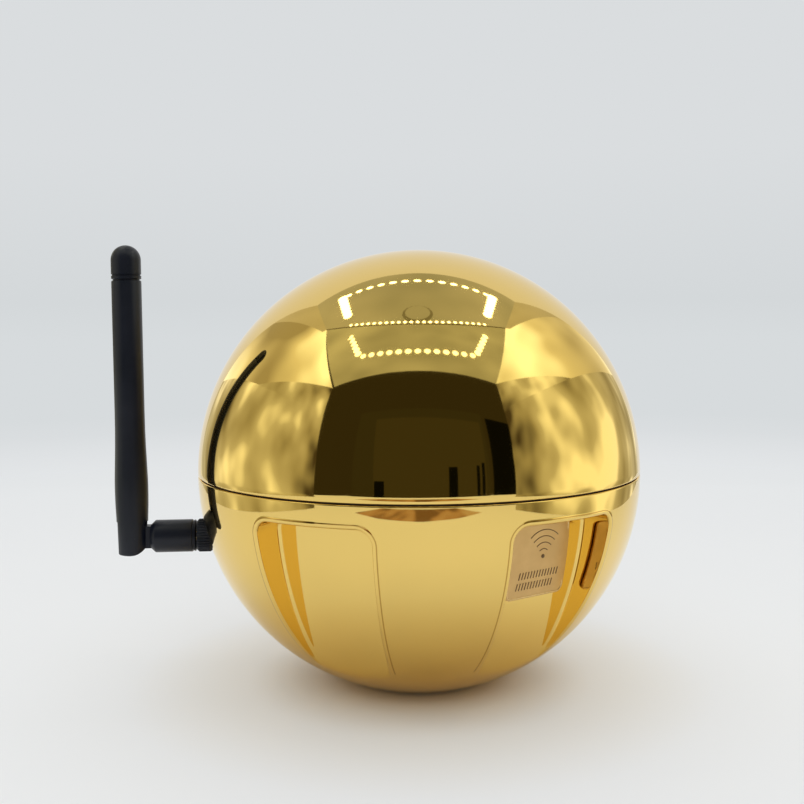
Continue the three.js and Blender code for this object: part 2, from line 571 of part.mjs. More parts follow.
function chargeSocket() {
  const { height, halfWidth, halfHeight, front } = SOCKET;
  const wall = 0.35;
  const shell = solid(block([-halfWidth, ON_IO, height - halfHeight],
    [halfWidth, front, height + halfHeight]));
  const mouth = solid(block([-halfWidth + wall, ON_IO + 1, height - halfHeight + wall],
    [halfWidth - wall, front + 1, height + halfHeight - wall]));
  return surface(cut(shell, mouth));
}
piece("charge_socket", chargeSocket(), STEEL);
piece("socket_tongue", block([-3.4, ON_IO + 1 + CLEARANCE, SOCKET.height - 0.35],
  [3.4, SOCKET.front - 0.8, SOCKET.height + 0.35]), CHIP);
piece("io_lead", lead([
  [5, IO_BOARD_Y - 0.4, 52.8], [5, 43.6, 53.2], [5, 38.5, 56], [5, 32, 57.4], [4.6, 24, 56.6],
  [4.6, 18, 54.4],
  [4.6, 16.4, ON_BOARD + 0.3],
], 1.1, 18), WHITE_PLASTIC);
piece("battery_lead", lead([
  [28.6, 0, 42.6], [28.6, 0, 46], [28.6, 0, 52], [27.6, 0, 56.4], [24.4, 0, 58], [21.6, 0, 56],
  [21.3, 0, ON_BOARD + 0.3],
], 1.1, 18), RUBBER);

// ---------------------------------------------------------------- light
const LIGHT_BASE = 68;
const LIGHT_THICKNESS = 1.6;
function lightBoard() {
  const leds = 8;
  const ledCircle = 25;
  let board = solid(ring(12, 38, LIGHT_BASE, LIGHT_BASE + LIGHT_THICKNESS, 40));
  for (let i = 0; i < leds; i++) {
    const led = block([ledCircle - 2.5, -2.5, LIGHT_BASE + 0.5],
      [ledCircle + 2.5, 2.5, LIGHT_BASE + LIGHT_THICKNESS + 1.5]);
    board = join(board, solid(led.rotateZ(((i + 0.5) * 2 * Math.PI) / leds)));
  }
  return surface(board);
}
piece("light_board", lightBoard(), WHITE_PLASTIC);
LIGHT_POSTS.forEach((angle, i) => {
  const post = rod(2.6, CHASSIS_TOP + CLEARANCE, LIGHT_BASE - CLEARANCE);
  piece(`light_post_${i + 1}`, post.translate(LIGHT_POST_CIRCLE, 0, 0).rotateZ(radians(angle)), STEEL);
});
const DIFFUSER = { rim: 39.5, rise: 14, wall: 1.4, base: LIGHT_BASE + LIGHT_THICKNESS + CLEARANCE };
function lightDiffuser() {
  const curve = (rim, rise, lift) => {
    const steps = 5;
    const points = [];
    for (let i = 0; i <= steps; i++) {
      const angle = (Math.PI / 2) * (i / steps);
      points.push([i < steps ? rim * Math.cos(angle) : 0, lift + rise * Math.sin(angle)]);
    }
    return points;
  };
  const outer = curve(DIFFUSER.rim, DIFFUSER.rise, DIFFUSER.base);
  const inner = curve(DIFFUSER.rim - DIFFUSER.wall, DIFFUSER.rise - DIFFUSER.wall, DIFFUSER.base);
  return turned([inner[0], ...outer, ...inner.reverse()], 24);
}
piece("light_diffuser", lightDiffuser(), FROSTED);

export default ball;
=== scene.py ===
import math

import bmesh
import bpy
from mathutils import Matrix, Vector


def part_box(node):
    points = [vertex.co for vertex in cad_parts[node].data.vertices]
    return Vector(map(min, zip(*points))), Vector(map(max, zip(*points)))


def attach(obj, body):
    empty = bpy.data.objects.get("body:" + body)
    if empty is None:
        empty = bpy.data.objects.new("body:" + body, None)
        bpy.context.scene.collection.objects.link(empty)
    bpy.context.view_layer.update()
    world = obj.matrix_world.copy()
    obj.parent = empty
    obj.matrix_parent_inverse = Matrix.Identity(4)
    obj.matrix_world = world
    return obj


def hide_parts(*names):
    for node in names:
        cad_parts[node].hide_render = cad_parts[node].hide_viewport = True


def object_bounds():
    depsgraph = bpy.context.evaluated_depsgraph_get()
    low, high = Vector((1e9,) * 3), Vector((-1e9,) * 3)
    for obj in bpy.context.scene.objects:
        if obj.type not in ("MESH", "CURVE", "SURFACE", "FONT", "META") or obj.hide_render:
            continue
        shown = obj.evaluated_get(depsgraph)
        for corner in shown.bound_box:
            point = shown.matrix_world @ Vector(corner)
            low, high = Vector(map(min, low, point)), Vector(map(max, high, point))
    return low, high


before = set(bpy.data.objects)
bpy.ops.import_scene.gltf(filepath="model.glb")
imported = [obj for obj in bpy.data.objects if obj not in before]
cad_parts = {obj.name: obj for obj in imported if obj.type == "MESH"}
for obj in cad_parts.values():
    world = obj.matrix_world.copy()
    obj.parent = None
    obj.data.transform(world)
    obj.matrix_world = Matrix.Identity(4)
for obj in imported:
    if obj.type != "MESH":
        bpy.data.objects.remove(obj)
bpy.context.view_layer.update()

# ---------------------------------------------------------------- camera
# A short tele lens five ball radii away, a little above the seam and a little to the left of the front rib.
# The ball's centre lies in the plane of the seam, its front is towards -Y, and lengths are in metres.
MM = 0.001
dome_low, dome_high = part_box("dome_shell")
bowl_low, bowl_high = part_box("bowl_shell")
BALL_RADIUS = (dome_high.x - dome_low.x) / 2
SEAM_HEIGHT = (dome_low.z + bowl_high.z) / 2
CENTRE = Vector((0, 0, SEAM_HEIGHT))
VIEW_AZIMUTH = math.radians(-5.6)
VIEW_ELEVATION = math.radians(7.935)
VIEW_DISTANCE = 5 * BALL_RADIUS
AIM_OFFSET = Vector((-0.0743, 0.0326, 0.306)) * BALL_RADIUS
AIM_ROLL = math.radians(-0.37)

to_view = Matrix.Rotation(VIEW_AZIMUTH, 3, "Z")
camera_data = bpy.data.cameras.new("camera")
camera_data.lens = 48.4
camera = bpy.data.objects.new("camera", camera_data)
bpy.context.scene.collection.objects.link(camera)
outwards = Vector((0, -math.cos(VIEW_ELEVATION), math.sin(VIEW_ELEVATION)))
camera.location = CENTRE + to_view @ (outwards * VIEW_DISTANCE)
aim = CENTRE + to_view @ AIM_OFFSET - camera.location
turn = aim.to_track_quat("-Z", "Y").to_matrix() @ Matrix.Rotation(AIM_ROLL, 3, "Z")
camera.rotation_euler = turn.to_euler()
camera_data.clip_start = 0.01
bpy.context.scene.camera = camera
bpy.context.scene.view_settings.view_transform = "Standard"


# ---------------------------------------------------------------- gold plating
# Bright gold over moulded plastic: a mirror with a very slight orange peel from the moulding, faint
# fingerprint haze, and a warm tint that pales where it is seen edge-on.
GOLD_COLOUR = (0.89, 0.635, 0.19, 1)


def new_material(name):
    made = bpy.data.materials.new(name)
    made.use_nodes = True
    shader = made.node_tree.nodes["Principled BSDF"]
    return made, made.node_tree, shader


def noise(tree, scale, detail=2.0, stretch=(1, 1, 1)):
    place = tree.nodes.new("ShaderNodeTexCoord")
    mapping = tree.nodes.new("ShaderNodeMapping")
    mapping.inputs["Scale"].default_value = stretch
    texture = tree.nodes.new("ShaderNodeTexNoise")
    texture.inputs["Scale"].default_value = scale
    texture.inputs["Detail"].default_value = detail
    tree.links.new(place.outputs["Object"], mapping.inputs["Vector"])
    tree.links.new(mapping.outputs["Vector"], texture.inputs["Vector"])
    return texture.outputs["Fac"]


def spread(tree, value, low, high, start=0.0, end=1.0):
    scaled = tree.nodes.new("ShaderNodeMapRange")
    scaled.inputs["From Min"].default_value = start
    scaled.inputs["From Max"].default_value = end
    scaled.inputs["To Min"].default_value = low
    scaled.inputs["To Max"].default_value = high
    tree.links.new(value, scaled.inputs["Value"])
    return scaled.outputs["Result"]


def bump(tree, shader, height, strength, distance):
    relief = tree.nodes.new("ShaderNodeBump")
    relief.inputs["Strength"].default_value = strength
    relief.inputs["Distance"].default_value = distance
    tree.links.new(height, relief.inputs["Height"])
    tree.links.new(relief.outputs["Normal"], shader.inputs["Normal"])


def two_tone(tree, shader, value, dark, light, start=0.35, end=0.65):
    ramp = tree.nodes.new("ShaderNodeValToRGB")
    ramp.color_ramp.elements[0].position = start
    ramp.color_ramp.elements[0].color = dark
    ramp.color_ramp.elements[1].position = end
    ramp.color_ramp.elements[1].color = light
    tree.links.new(value, ramp.inputs["Fac"])
    tree.links.new(ramp.outputs["Color"], shader.inputs["Base Color"])


def shade(colour, factor):
    return tuple(channel * factor for channel in colour[:3]) + (1,)


def gold_plating(name, colour):
    made, tree, shader = new_material(name)
    shader.inputs["Metallic"].default_value = 1
    two_tone(tree, shader, noise(tree, 30, 3), shade(colour, 0.97), colour)
    tree.links.new(spread(tree, noise(tree, 45, 4), 0.025, 0.06), shader.inputs["Roughness"])
    bump(tree, shader, noise(tree, 220, 1), 0.06, 0.05 * MM)
    return made


gold = gold_plating("gold_plating", GOLD_COLOUR)
# A darker gold, painted as a thin shade line along the bead round each pocket's lip.
gold_painted_shade_line = gold_plating("gold_painted_shade_line", (0.55, 0.33, 0.08, 1))


# ---------------------------------------------------------------- dome shell
# The upper half of the ball, one moulding with a wall of 3 mm. Its rim has a small outer bevel and a
# groove for the seal, and four screw bosses stand inside it.
WALL = 3 * MM
INNER_RADIUS = BALL_RADIUS - WALL
RIM_BACK = dome_low.z - SEAM_HEIGHT
RIM_BEVEL = 0.35 * MM
SEAL_GAP = 0.3 * MM
SEAL_GROOVE = 1.5 * MM
SEAL_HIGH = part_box("seam_seal")[1]
SEAL_OUTER = SEAL_HIGH.x + SEAL_GAP
SEAL_INNER = SEAL_OUTER - SEAL_GROOVE
SEAL_REACH = SEAL_HIGH.z - SEAM_HEIGHT + SEAL_GAP
BOSS_RADIUS, BOSS_LONG = 3.4 * MM, 12 * MM


def deselect_all():
    bpy.ops.object.select_all(action="DESELECT")


def take(piece):
    deselect_all()
    piece.select_set(True)
    bpy.context.view_layer.objects.active = piece


def settle(piece, name):
    """Puts the piece's place into its mesh and names both."""
    take(piece)
    bpy.ops.object.transform_apply(location=True, rotation=True, scale=True)
    piece.name = piece.data.name = name
    return piece


def paint(piece, material):
    piece.data.materials.clear()
    piece.data.materials.append(material)


def smooth(piece, angle=35):
    take(piece)
    bpy.ops.object.shade_smooth_by_angle(angle=math.radians(angle))


def radius_at(radius, height):
    return math.sqrt(radius ** 2 - height ** 2)


def half_ball(radius, rim):
    """The part of a sphere above the rim height, open below."""
    deselect_all()
    bpy.ops.mesh.primitive_uv_sphere_add(segments=192, ring_count=96, radius=radius)
    bpy.ops.object.mode_set(mode="EDIT")
    bpy.ops.mesh.select_all(action="SELECT")
    bpy.ops.mesh.bisect(plane_co=(0, 0, rim), plane_no=(0, 0, 1), clear_inner=True)
    bpy.ops.object.mode_set(mode="OBJECT")
    return bpy.context.object


def extend_loop(piece, height, profile):
    """Extrudes the open loop at a height through (radius, height) steps. A radius of 0 closes it."""
    work = bmesh.new()
    work.from_mesh(piece.data)
    edges = [e for e in work.edges if e.is_boundary and all(abs(v.co.z - height) < 1e-6 for v in e.verts)]
    for radius, next_height in profile:
        made = bmesh.ops.extrude_edge_only(work, edges=edges)["geom"]
        verts = {item for item in made if isinstance(item, bmesh.types.BMVert)}
        made_edges = [item for item in made if isinstance(item, bmesh.types.BMEdge)]
        edges = [edge for edge in made_edges if verts.issuperset(edge.verts)]
        for vert in verts:
            way = vert.co.xy.normalized() * radius
            vert.co = (way.x, way.y, next_height)
    work.to_mesh(piece.data)
    work.free()


def join(pieces):
    """Joins pieces into the first one."""
    deselect_all()
    for piece in pieces:
        piece.select_set(True)
    bpy.context.view_layer.objects.active = pieces[0]
    bpy.ops.object.join()
    return pieces[0]


def weld(piece, distance=0.01 * MM, inside=False):
    take(piece)
    bpy.ops.object.mode_set(mode="EDIT")
    bpy.ops.mesh.select_all(action="SELECT")
    bpy.ops.mesh.remove_doubles(threshold=distance)
    bpy.ops.mesh.normals_make_consistent(inside=inside)
    bpy.ops.object.mode_set(mode="OBJECT")


def true_ball(piece):
    """Where the mesh lies on the ball, its shading normal is the ball's own."""
    mesh = piece.data
    normals = [corner.vector.copy() for corner in mesh.corner_normals]
    for face in mesh.polygons:
        if abs((face.center - CENTRE).length - BALL_RADIUS) > 0.05 * MM:
            continue
        for corner in face.loop_indices:
            out = mesh.vertices[mesh.loops[corner].vertex_index].co - CENTRE
            if abs(out.length - BALL_RADIUS) < 0.002 * MM:
                normals[corner] = out.normalized()
    mesh.normals_split_custom_set(normals)


def rod(name, radius, start, end, sides=48):
    """A plain round rod between two points."""
    way = Vector(end) - Vector(start)
    deselect_all()
    bpy.ops.mesh.primitive_cylinder_add(vertices=sides, radius=radius, depth=way.length,
                                        location=(Vector(start) + Vector(end)) / 2,
                                        rotation=way.to_track_quat("Z", "Y").to_euler())
    return settle(bpy.context.object, name)


def block(name, size, middle):
    """A plain block of a size round a point."""
    deselect_all()
    bpy.ops.mesh.primitive_cube_add(size=1)
    made = bpy.context.object
    made.scale = size
    made.location = middle
    return settle(made, name)


def screw_places():
    """Where the four screws that hold the dome stand."""
    boxes = [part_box(f"dome_screw_{number}") for number in range(1, 5)]
    return [((low.x + high.x) / 2, (low.y + high.y) / 2) for low, high in boxes]


bevel_top = RIM_BACK + RIM_BEVEL
dome = half_ball(BALL_RADIUS, bevel_top)
bevel_radius = radius_at(BALL_RADIUS, bevel_top)
extend_loop(dome, bevel_top, [
    (bevel_radius - 0.15 * RIM_BEVEL, RIM_BACK + 0.5 * RIM_BEVEL),
    (bevel_radius - 0.5 * RIM_BEVEL, RIM_BACK + 0.15 * RIM_BEVEL),
    (bevel_radius - RIM_BEVEL, RIM_BACK), (SEAL_OUTER, RIM_BACK), (SEAL_OUTER, SEAL_REACH),
    (SEAL_INNER, SEAL_REACH), (SEAL_INNER, RIM_BACK), (radius_at(INNER_RADIUS, RIM_BACK), RIM_BACK),
])
lining = half_ball(INNER_RADIUS, RIM_BACK)
dome = join([dome, lining])
weld(dome)
dome.location = CENTRE
settle(dome, "dome")
bosses = [rod("boss", BOSS_RADIUS, (x, y, dome_low.z), (x, y, dome_low.z + BOSS_LONG))
          for x, y in screw_places()]
smooth(dome)
true_ball(dome)
dome = join([dome] + bosses)
dome.name = dome.data.name = "dome"
paint(dome, gold)
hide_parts("dome_shell")
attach(dome, "ball_body")


# ---------------------------------------------------------------- bowl shell
# The lower half, with four tall pockets whose sides follow the ball's meridians. Each pocket is cut
# straight in towards the ball's axis and its floor curves down until it runs out into the ball. The mesh
# is laid in loops that follow each pocket's outline, so that its edges are true rounds.
POCKETS = ((-31, -30), (31, 30), (149, 150), (211, 210))  # each pocket's middle, and its sixth of the bowl
PLAIN_AZIMUTHS = (90, 270)
CELL_HALF = math.radians(30)
POCKET_HALF = math.radians(15)
POCKET_TOP = -6.3 * MM
POCKET_FOOT = -50.5 * MM
POCKET_END = -53.5 * MM
POCKET_FLOOR_TOP = 51.6 * MM
POCKET_BULGE = 2.7 * MM
POCKET_CORNER = 3.8 * MM
LIP_ROUND = 0.75 * MM
FLOOR_ROUND = 1.1 * MM
DRAFT = 0.25 * MM
BLEND = 0.9 * MM
BEAD = 0.09 * MM  # a faint raised line round each pocket, left by the moulding
BEAD_FADE = 4 * MM
SHADE_LINE_SKIP = 5  # the painted shade line along the bead starts this many steps above the pocket's foot
SIDE_STEPS = 48
TOP_STEPS = 26
OUTER_STEPS = 12
RIM_TOP = -RIM_BACK - RIM_BEVEL
BASE_HEIGHT = bowl_low.z - SEAM_HEIGHT
BASE_INSIDE = BASE_HEIGHT + 3.4 * MM
PAD_GAP = 0.3 * MM
PAD_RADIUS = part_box("base_pad")[1].x + PAD_GAP
PAD_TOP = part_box("base_pad")[1].z - SEAM_HEIGHT + PAD_GAP


def floor_arc():
    foot = Vector((radius_at(BALL_RADIUS, POCKET_FOOT), POCKET_FOOT))
    top = Vector((POCKET_FLOOR_TOP, POCKET_TOP))
    chord = top - foot
    radius = chord.length_squared / (8 * POCKET_BULGE) + POCKET_BULGE / 2
    inwards = Vector((-chord.y, chord.x)).normalized()
    return (foot + top) / 2 + inwards * (radius - POCKET_BULGE), radius


ARC_CENTRE, ARC_RADIUS = floor_arc()


def floor_at(height):
    return ARC_CENTRE.x + math.sqrt(ARC_RADIUS ** 2 - (height - ARC_CENTRE.y) ** 2)


def ramp_up(value, width):
    """Zero below -width, the value itself above width, and a smooth bend between."""
    if value <= -width:
        return 0.0
    if value >= width:
        return value
    return (value + width) ** 2 / (4 * width)


class Skin:
    """One face of the bowl's wall: the ball with its pockets, or the same grown inwards by the wall."""

    def __init__(self, grown):
        self.grown = grown
        self.radius = BALL_RADIUS - grown
        self.ceiling = POCKET_TOP + grown
        self.points = []
        self.faces = []
        self.shade_line_faces = []

    def half_width(self, height):
        return math.sin(POCKET_HALF) * radius_at(BALL_RADIUS, height) + self.grown

    def outline(self):
        """Points round the pocket, up one side, across and down the other, each with its outward way."""
        corner = POCKET_CORNER
        bend = self.ceiling - corner
        side = []
        straight = SIDE_STEPS - 6
        for k in range(straight + 1):
            height = POCKET_END + (bend - POCKET_END) * k / straight
            side.append((self.half_width(height), height, 1.0, 0.0))
        for k in range(1, 7):
            angle = math.radians(45) * k / 6
            middle = self.half_width(bend) - corner
            side.append((middle + corner * math.cos(angle), bend + corner * math.sin(angle),
                         math.cos(angle), math.sin(angle)))
        top = []
        middle = self.half_width(bend) - corner
        for k in range(1, 6):
            angle = math.radians(45 + 45 * k / 5)
            top.append((middle + corner * math.cos(angle), bend + corner * math.sin(angle),
                        math.cos(angle), math.sin(angle)))
        flat = (TOP_STEPS - 10) // 2
        for k in range(1, flat + 1):
            top.append((middle * (1 - k / flat), self.ceiling, 0.0, 1.0))
        right = side + top
        left = [(-t, z, -nt, nz) for t, z, nt, nz in reversed(right[:-1])]
        return right + left

    def ball_at(self, t, z):
        return math.sqrt(max(self.radius ** 2 - t * t - z * z, 0))

    def depth_at(self, t, z):
        return ramp_up(self.ball_at(t, z) - (floor_at(z) - self.grown), BLEND)

    def loops(self):
        """(offset from the outline, share of the lip's round, share of the way down, share of the bead)."""
        made = [(LIP_ROUND + 0.95 * MM, 0, None, 0), (LIP_ROUND + 0.65 * MM, 0, None, 0.3),
                (LIP_ROUND + 0.35 * MM, 0, None, 0.9)]
        for k in range(6):
            angle = math.radians(90) * k / 5
            made.append((LIP_ROUND * (1 - math.sin(angle)), 1 - math.cos(angle), None, 1 - k / 5))
        for share in (0.05, 0.5, 0.95):
            made.append((-DRAFT * share, None, share, 0))
        for k in range(6):
            angle = math.radians(90) * k / 5
            made.append((-DRAFT - FLOOR_ROUND * (1 - math.cos(angle)), None, 1 + math.sin(angle), 0))
        made.append((-DRAFT - FLOOR_ROUND - 0.25 * MM, None, 2, 0))
        return made

    def drop(self, t, z, lip, low, bead):
        """How far below the ball's surface a loop's point lies."""
        depth = self.depth_at(t, z)
        scale = min(1.0, depth / (2.4 * (LIP_ROUND + FLOOR_ROUND)))
        lip_round, floor_round = LIP_ROUND * scale, FLOOR_ROUND * scale
        if lip is not None:
            fade = min(max((z - POCKET_FOOT) / BEAD_FADE, 0), 1)
            return lip_round * lip - (0 if self.grown else BEAD * bead * fade)
        if low <= 1:
            return lip_round + (depth - lip_round - floor_round) * low
        return depth - floor_round * (2 - low)

    def place(self, azimuth, t, z, drop):
        s = self.ball_at(t, z) - drop
        angle = azimuth - math.radians(90)
        return Matrix.Rotation(angle, 3, "Z") @ Vector((s, t, z))

    def on_ball(self, azimuth, height):
        radius = radius_at(self.radius, height)
        return Vector((radius * math.sin(azimuth), -radius * math.cos(azimuth), height))

    def add_rows(self, rows, line=None):
        """Rows of points of equal count, outer row first, each going anticlockwise seen from outside."""
        start = len(self.points)
        for row in rows:
            self.points.extend(row)
        count = len(rows[0])
        for r in range(len(rows) - 1):
            for i in range(count - 1):
                a = start + r * count + i
                # the faces between these two rows get the painted shade line
                if r == line and SHADE_LINE_SKIP <= i < count - 1 - SHADE_LINE_SKIP:
                    self.shade_line_faces.append(len(self.faces))
                self.faces.append((a, a + 1, a + count + 1, a + count))

    def pocket(self, azimuth, cell):
        outline = self.outline()
        half = len(outline) // 2
        rim = RIM_TOP
        edge = []
        for i in range(len(outline)):
            k = min(i, len(outline) - 1 - i)
            sign = 1 if i <= half else -1
            if k <= SIDE_STEPS:
                turn, height = CELL_HALF * sign, POCKET_END + (rim - POCKET_END) * k / SIDE_STEPS
            else:
                turn, height = CELL_HALF * sign * (half - k) / (half - SIDE_STEPS), rim
            edge.append((turn + cell - azimuth, height))
        rows = []
        loops = self.loops()
        first = loops[0][0]
        for step in range(OUTER_STEPS):
            share = (step / OUTER_STEPS) ** 0.8
            row = []
            for (t, z, nt, nz), (turn, height) in zip(outline, edge):
                near_t, near_z = t + nt * first, z + nz * first
                near_turn = math.atan2(near_t, self.ball_at(near_t, near_z))
                row.append(self.on_ball(azimuth + turn + (near_turn - turn) * share,
                                        height + (near_z - height) * share))
            rows.append(row)
        for offset, lip, low, bead in loops:
            row = []
            for t, z, nt, nz in outline:
                at_t, at_z = t + nt * offset, z + nz * offset
                row.append(self.place(azimuth, at_t, at_z, self.drop(at_t, at_z, lip, low, bead)))
            rows.append(row)
        self.add_rows(rows, line=OUTER_STEPS + 1)
        last = loops[-1][0]
        inside = [(t + nt * last, z + nz * last) for t, z, nt, nz in outline]
        self.floor(azimuth, inside)
        return [row[0] for row in rows], [row[-1] for row in rows]

    def floor(self, azimuth, inside):
        """The pocket's floor, a grid blended between its four sides."""
        n = SIDE_STEPS
        right, left = inside[:n + 1], list(reversed(inside))[:n + 1]
        top = list(reversed(inside[n:len(inside) - n]))
        m = len(top) - 1
        low_t = right[0][0]
        grid = []
        for j in range(n + 1):
            b = j / n
            row = []
            for i in range(m + 1):
                a = i / m
                flat = [(1 - a) * left[j][k] + a * right[j][k] for k in (0, 1)]
                bottom = (-low_t + 2 * low_t * a, right[0][1])
                rise = [(1 - b) * bottom[k] + b * top[i][k] for k in (0, 1)]
                corners = [(1 - a) * ((1 - b) * left[0][k] + b * left[n][k])
                           + a * ((1 - b) * right[0][k] + b * right[n][k]) for k in (0, 1)]
                t, z = (flat[k] + rise[k] - corners[k] for k in (0, 1))
                row.append(self.place(azimuth, t, z, self.depth_at(t, z)))
            grid.append(row)
        self.add_rows([list(reversed(row)) for row in grid])

    def plain(self, azimuth):
        columns = 32
        rows = []
        for k in range(columns + 1):
            turn = CELL_HALF * (1 - 2 * k / columns)
            rows.append([self.on_ball(azimuth + turn, RIM_TOP + (POCKET_END - RIM_TOP) * j / SIDE_STEPS)
                         for j in range(SIDE_STEPS + 1)])
        self.add_rows([list(reversed(row)) for row in rows])

    def build(self):
        for azimuth, cell in POCKETS:
            self.pocket(math.radians(azimuth), math.radians(cell))
        for azimuth in PLAIN_AZIMUTHS:
            self.plain(math.radians(azimuth))


def skin_mesh(grown):
    skin = Skin(grown)
    skin.build()
    mesh = bpy.data.meshes.new("skin")
    mesh.from_pydata(skin.points, [], skin.faces)
    mesh.materials.append(gold)
    mesh.materials.append(gold_painted_shade_line)
    # these faces take the darker gold: a painted shade line round each pocket
    for face in skin.shade_line_faces:
        mesh.polygons[face].material_index = 1
    made = bpy.data.objects.new("skin", mesh)
    bpy.context.scene.collection.objects.link(made)
    weld(made, 0.004 * MM, inside=grown > 0)
    return made


def lower_cap(radius, low, steps=12):
    """Steps down a sphere from the pockets' end to a height."""
    start, end = math.asin(POCKET_END / radius), math.asin(low / radius)
    angles = [start + (end - start) * k / steps for k in range(1, steps + 1)]
    return [(radius * math.cos(a), radius * math.sin(a)) for a in angles]


bowl = skin_mesh(0)
outer_cap = lower_cap(BALL_RADIUS, BASE_HEIGHT + 0.25 * MM)
base_edge = outer_cap[-1][0]
extend_loop(bowl, POCKET_END, outer_cap + [
    (base_edge - 0.25 * MM, BASE_HEIGHT + 0.06 * MM), (base_edge - 0.6 * MM, BASE_HEIGHT),
    (PAD_RADIUS, BASE_HEIGHT), (PAD_RADIUS, PAD_TOP), (0, PAD_TOP),
])
rim_radius = radius_at(BALL_RADIUS, RIM_TOP)
extend_loop(bowl, RIM_TOP, [
    (rim_radius - 0.15 * RIM_BEVEL, -RIM_BACK - 0.5 * RIM_BEVEL),
    (rim_radius - 0.5 * RIM_BEVEL, -RIM_BACK - 0.15 * RIM_BEVEL),
    (rim_radius - RIM_BEVEL, -RIM_BACK), (SEAL_OUTER, -RIM_BACK), (SEAL_OUTER, -SEAL_REACH),
    (SEAL_INNER, -SEAL_REACH), (SEAL_INNER, -RIM_BACK), (radius_at(INNER_RADIUS, RIM_TOP), RIM_TOP),
])
lining = skin_mesh(WALL)
extend_loop(lining, POCKET_END, lower_cap(INNER_RADIUS, BASE_INSIDE) + [(0, BASE_INSIDE)])
bowl = join([bowl, lining])
weld(bowl)
bowl.location = CENTRE
settle(bowl, "bowl")

# The openings of the bowl: the spot-face and hole of the antenna jack at the left, the power button's hole
# and the charging slot at the rear, and the recess of each dome screw in the ceiling of its pocket.
jack_low, jack_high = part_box("jack_body")
JACK_HEIGHT = (jack_low.z + jack_high.z) / 2
SPOT_FACE = -60.2 * MM


def cut(piece, cutter):
    take(piece)
    carve = piece.modifiers.new("cut", "BOOLEAN")
    carve.operation = "DIFFERENCE"
    carve.solver = "EXACT"
    carve.object = cutter
    bpy.ops.object.modifier_apply(modifier="cut")
    bpy.data.objects.remove(cutter)


button_low, button_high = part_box("power_button")
BUTTON_HEIGHT = (button_low.z + button_high.z) / 2
socket_low, socket_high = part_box("charge_socket")
SOCKET_GAP = 0.6 * MM
REAR_REACH = 70 * MM
cutters = [
    rod("spot_face", 7.6 * MM, (SPOT_FACE, 0, JACK_HEIGHT), (-REAR_REACH, 0, JACK_HEIGHT), 72),
    rod("jack_recess", 4.6 * MM, (SPOT_FACE + 1.4 * MM, 0, JACK_HEIGHT), (-REAR_REACH, 0, JACK_HEIGHT)),
    rod("jack_hole", 3.4 * MM, (-50 * MM, 0, JACK_HEIGHT), (-REAR_REACH, 0, JACK_HEIGHT)),
    rod("button_hole", 4.2 * MM, (0, 55 * MM, BUTTON_HEIGHT), (0, REAR_REACH, BUTTON_HEIGHT)),
]
cutters += [rod("screw_recess", 2.9 * MM, (x, y, 50 * MM), (x, y, 58.3 * MM)) for x, y in screw_places()]
socket_size = socket_high - socket_low
slot_hole = block("slot_hole", (socket_size.x + SOCKET_GAP, 20 * MM, socket_size.z + SOCKET_GAP),
                  (0, 60 * MM, (socket_low.z + socket_high.z) / 2))
rounding = slot_hole.modifiers.new("round", "BEVEL")
rounding.width = 1.6 * MM
rounding.segments = 6
rounding.limit_method = "NONE"
bpy.ops.object.modifier_apply(modifier="round")
cutters.append(slot_hole)
for cutter in cutters:
    cut(bowl, cutter)
smooth(bowl, 30)
true_ball(bowl)
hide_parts("bowl_shell")
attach(bowl, "ball_body")


# ---------------------------------------------------------------- seam seal and base pad
# The dark seal that shows as a fine line between the halves, and the rubber pad under the base. Both are
# the frame's own pieces with a matt rubber finish.
def plain_finish(name, dark, light, roughness, metallic=0.0, grain=60.0, relief=0.0):
    made, tree, shader = new_material(name)
    shader.inputs["Metallic"].default_value = metallic
    value = noise(tree, grain, 4)
    two_tone(tree, shader, value, dark + (1,), light + (1,))
    tree.links.new(spread(tree, value, roughness * 0.85, roughness * 1.15), shader.inputs["Roughness"])
    if relief:
        bump(tree, shader, noise(tree, grain * 12, 2), 0.35, relief)
    return made


def dress(names, material):
    """Gives the frame's own pieces a finish."""
    for name in names:
        paint(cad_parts[name], material)


rubber = plain_finish("black_rubber", (0.012, 0.012, 0.012), (0.02, 0.02, 0.021), 0.75, grain=90,
                      relief=0.05 * MM)
seal_rubber = plain_finish("seal_rubber", (0.05, 0.03, 0.012), (0.075, 0.045, 0.02), 0.6)
dress(["base_pad"], rubber)
dress(["seam_seal"], seal_rubber)


# ---------------------------------------------------------------- label
# A thin brass plate stuck in the front right pocket, with a fine raised rim and generic etched marks:
# four arcs over a dot, and two rows of short ticks.
brass = plain_finish("label_brass", (0.62, 0.39, 0.15), (0.69, 0.45, 0.18), 0.36, metallic=0.8, grain=140)
etched = plain_finish("label_ink", (0.15, 0.085, 0.028), (0.19, 0.11, 0.038), 0.55)
dress(["label_plate"], brass)
label_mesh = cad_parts["label_plate"].data
LABEL_AZIMUTH = math.radians(31)
face_normal = Vector((math.sin(LABEL_AZIMUTH), -math.cos(LABEL_AZIMUTH), 0))
corners = [v.co for v in label_mesh.vertices]
label_across = Vector((0, 0, 1)).cross(face_normal)
LABEL_HIGH = max(co.z for co in corners)
LABEL_LOW = min(co.z for co in corners)
LABEL_RIGHT = max(co.dot(label_across) for co in corners)
LABEL_LEFT = min(co.dot(label_across) for co in corners)
LABEL_TALL, LABEL_WIDE = LABEL_HIGH - LABEL_LOW, LABEL_RIGHT - LABEL_LEFT


def on_label(across, up, proud=0.06 * MM):
    """A point on the label's face, from its middle, in metres."""
    middle = Vector((0, 0, (LABEL_HIGH + LABEL_LOW) / 2)) + label_across * (LABEL_RIGHT + LABEL_LEFT) / 2
    start = middle + face_normal * 0.2 + label_across * across + Vector((0, 0, up))
    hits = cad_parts["label_plate"].ray_cast(start, -face_normal)
    return hits[1] + face_normal * proud


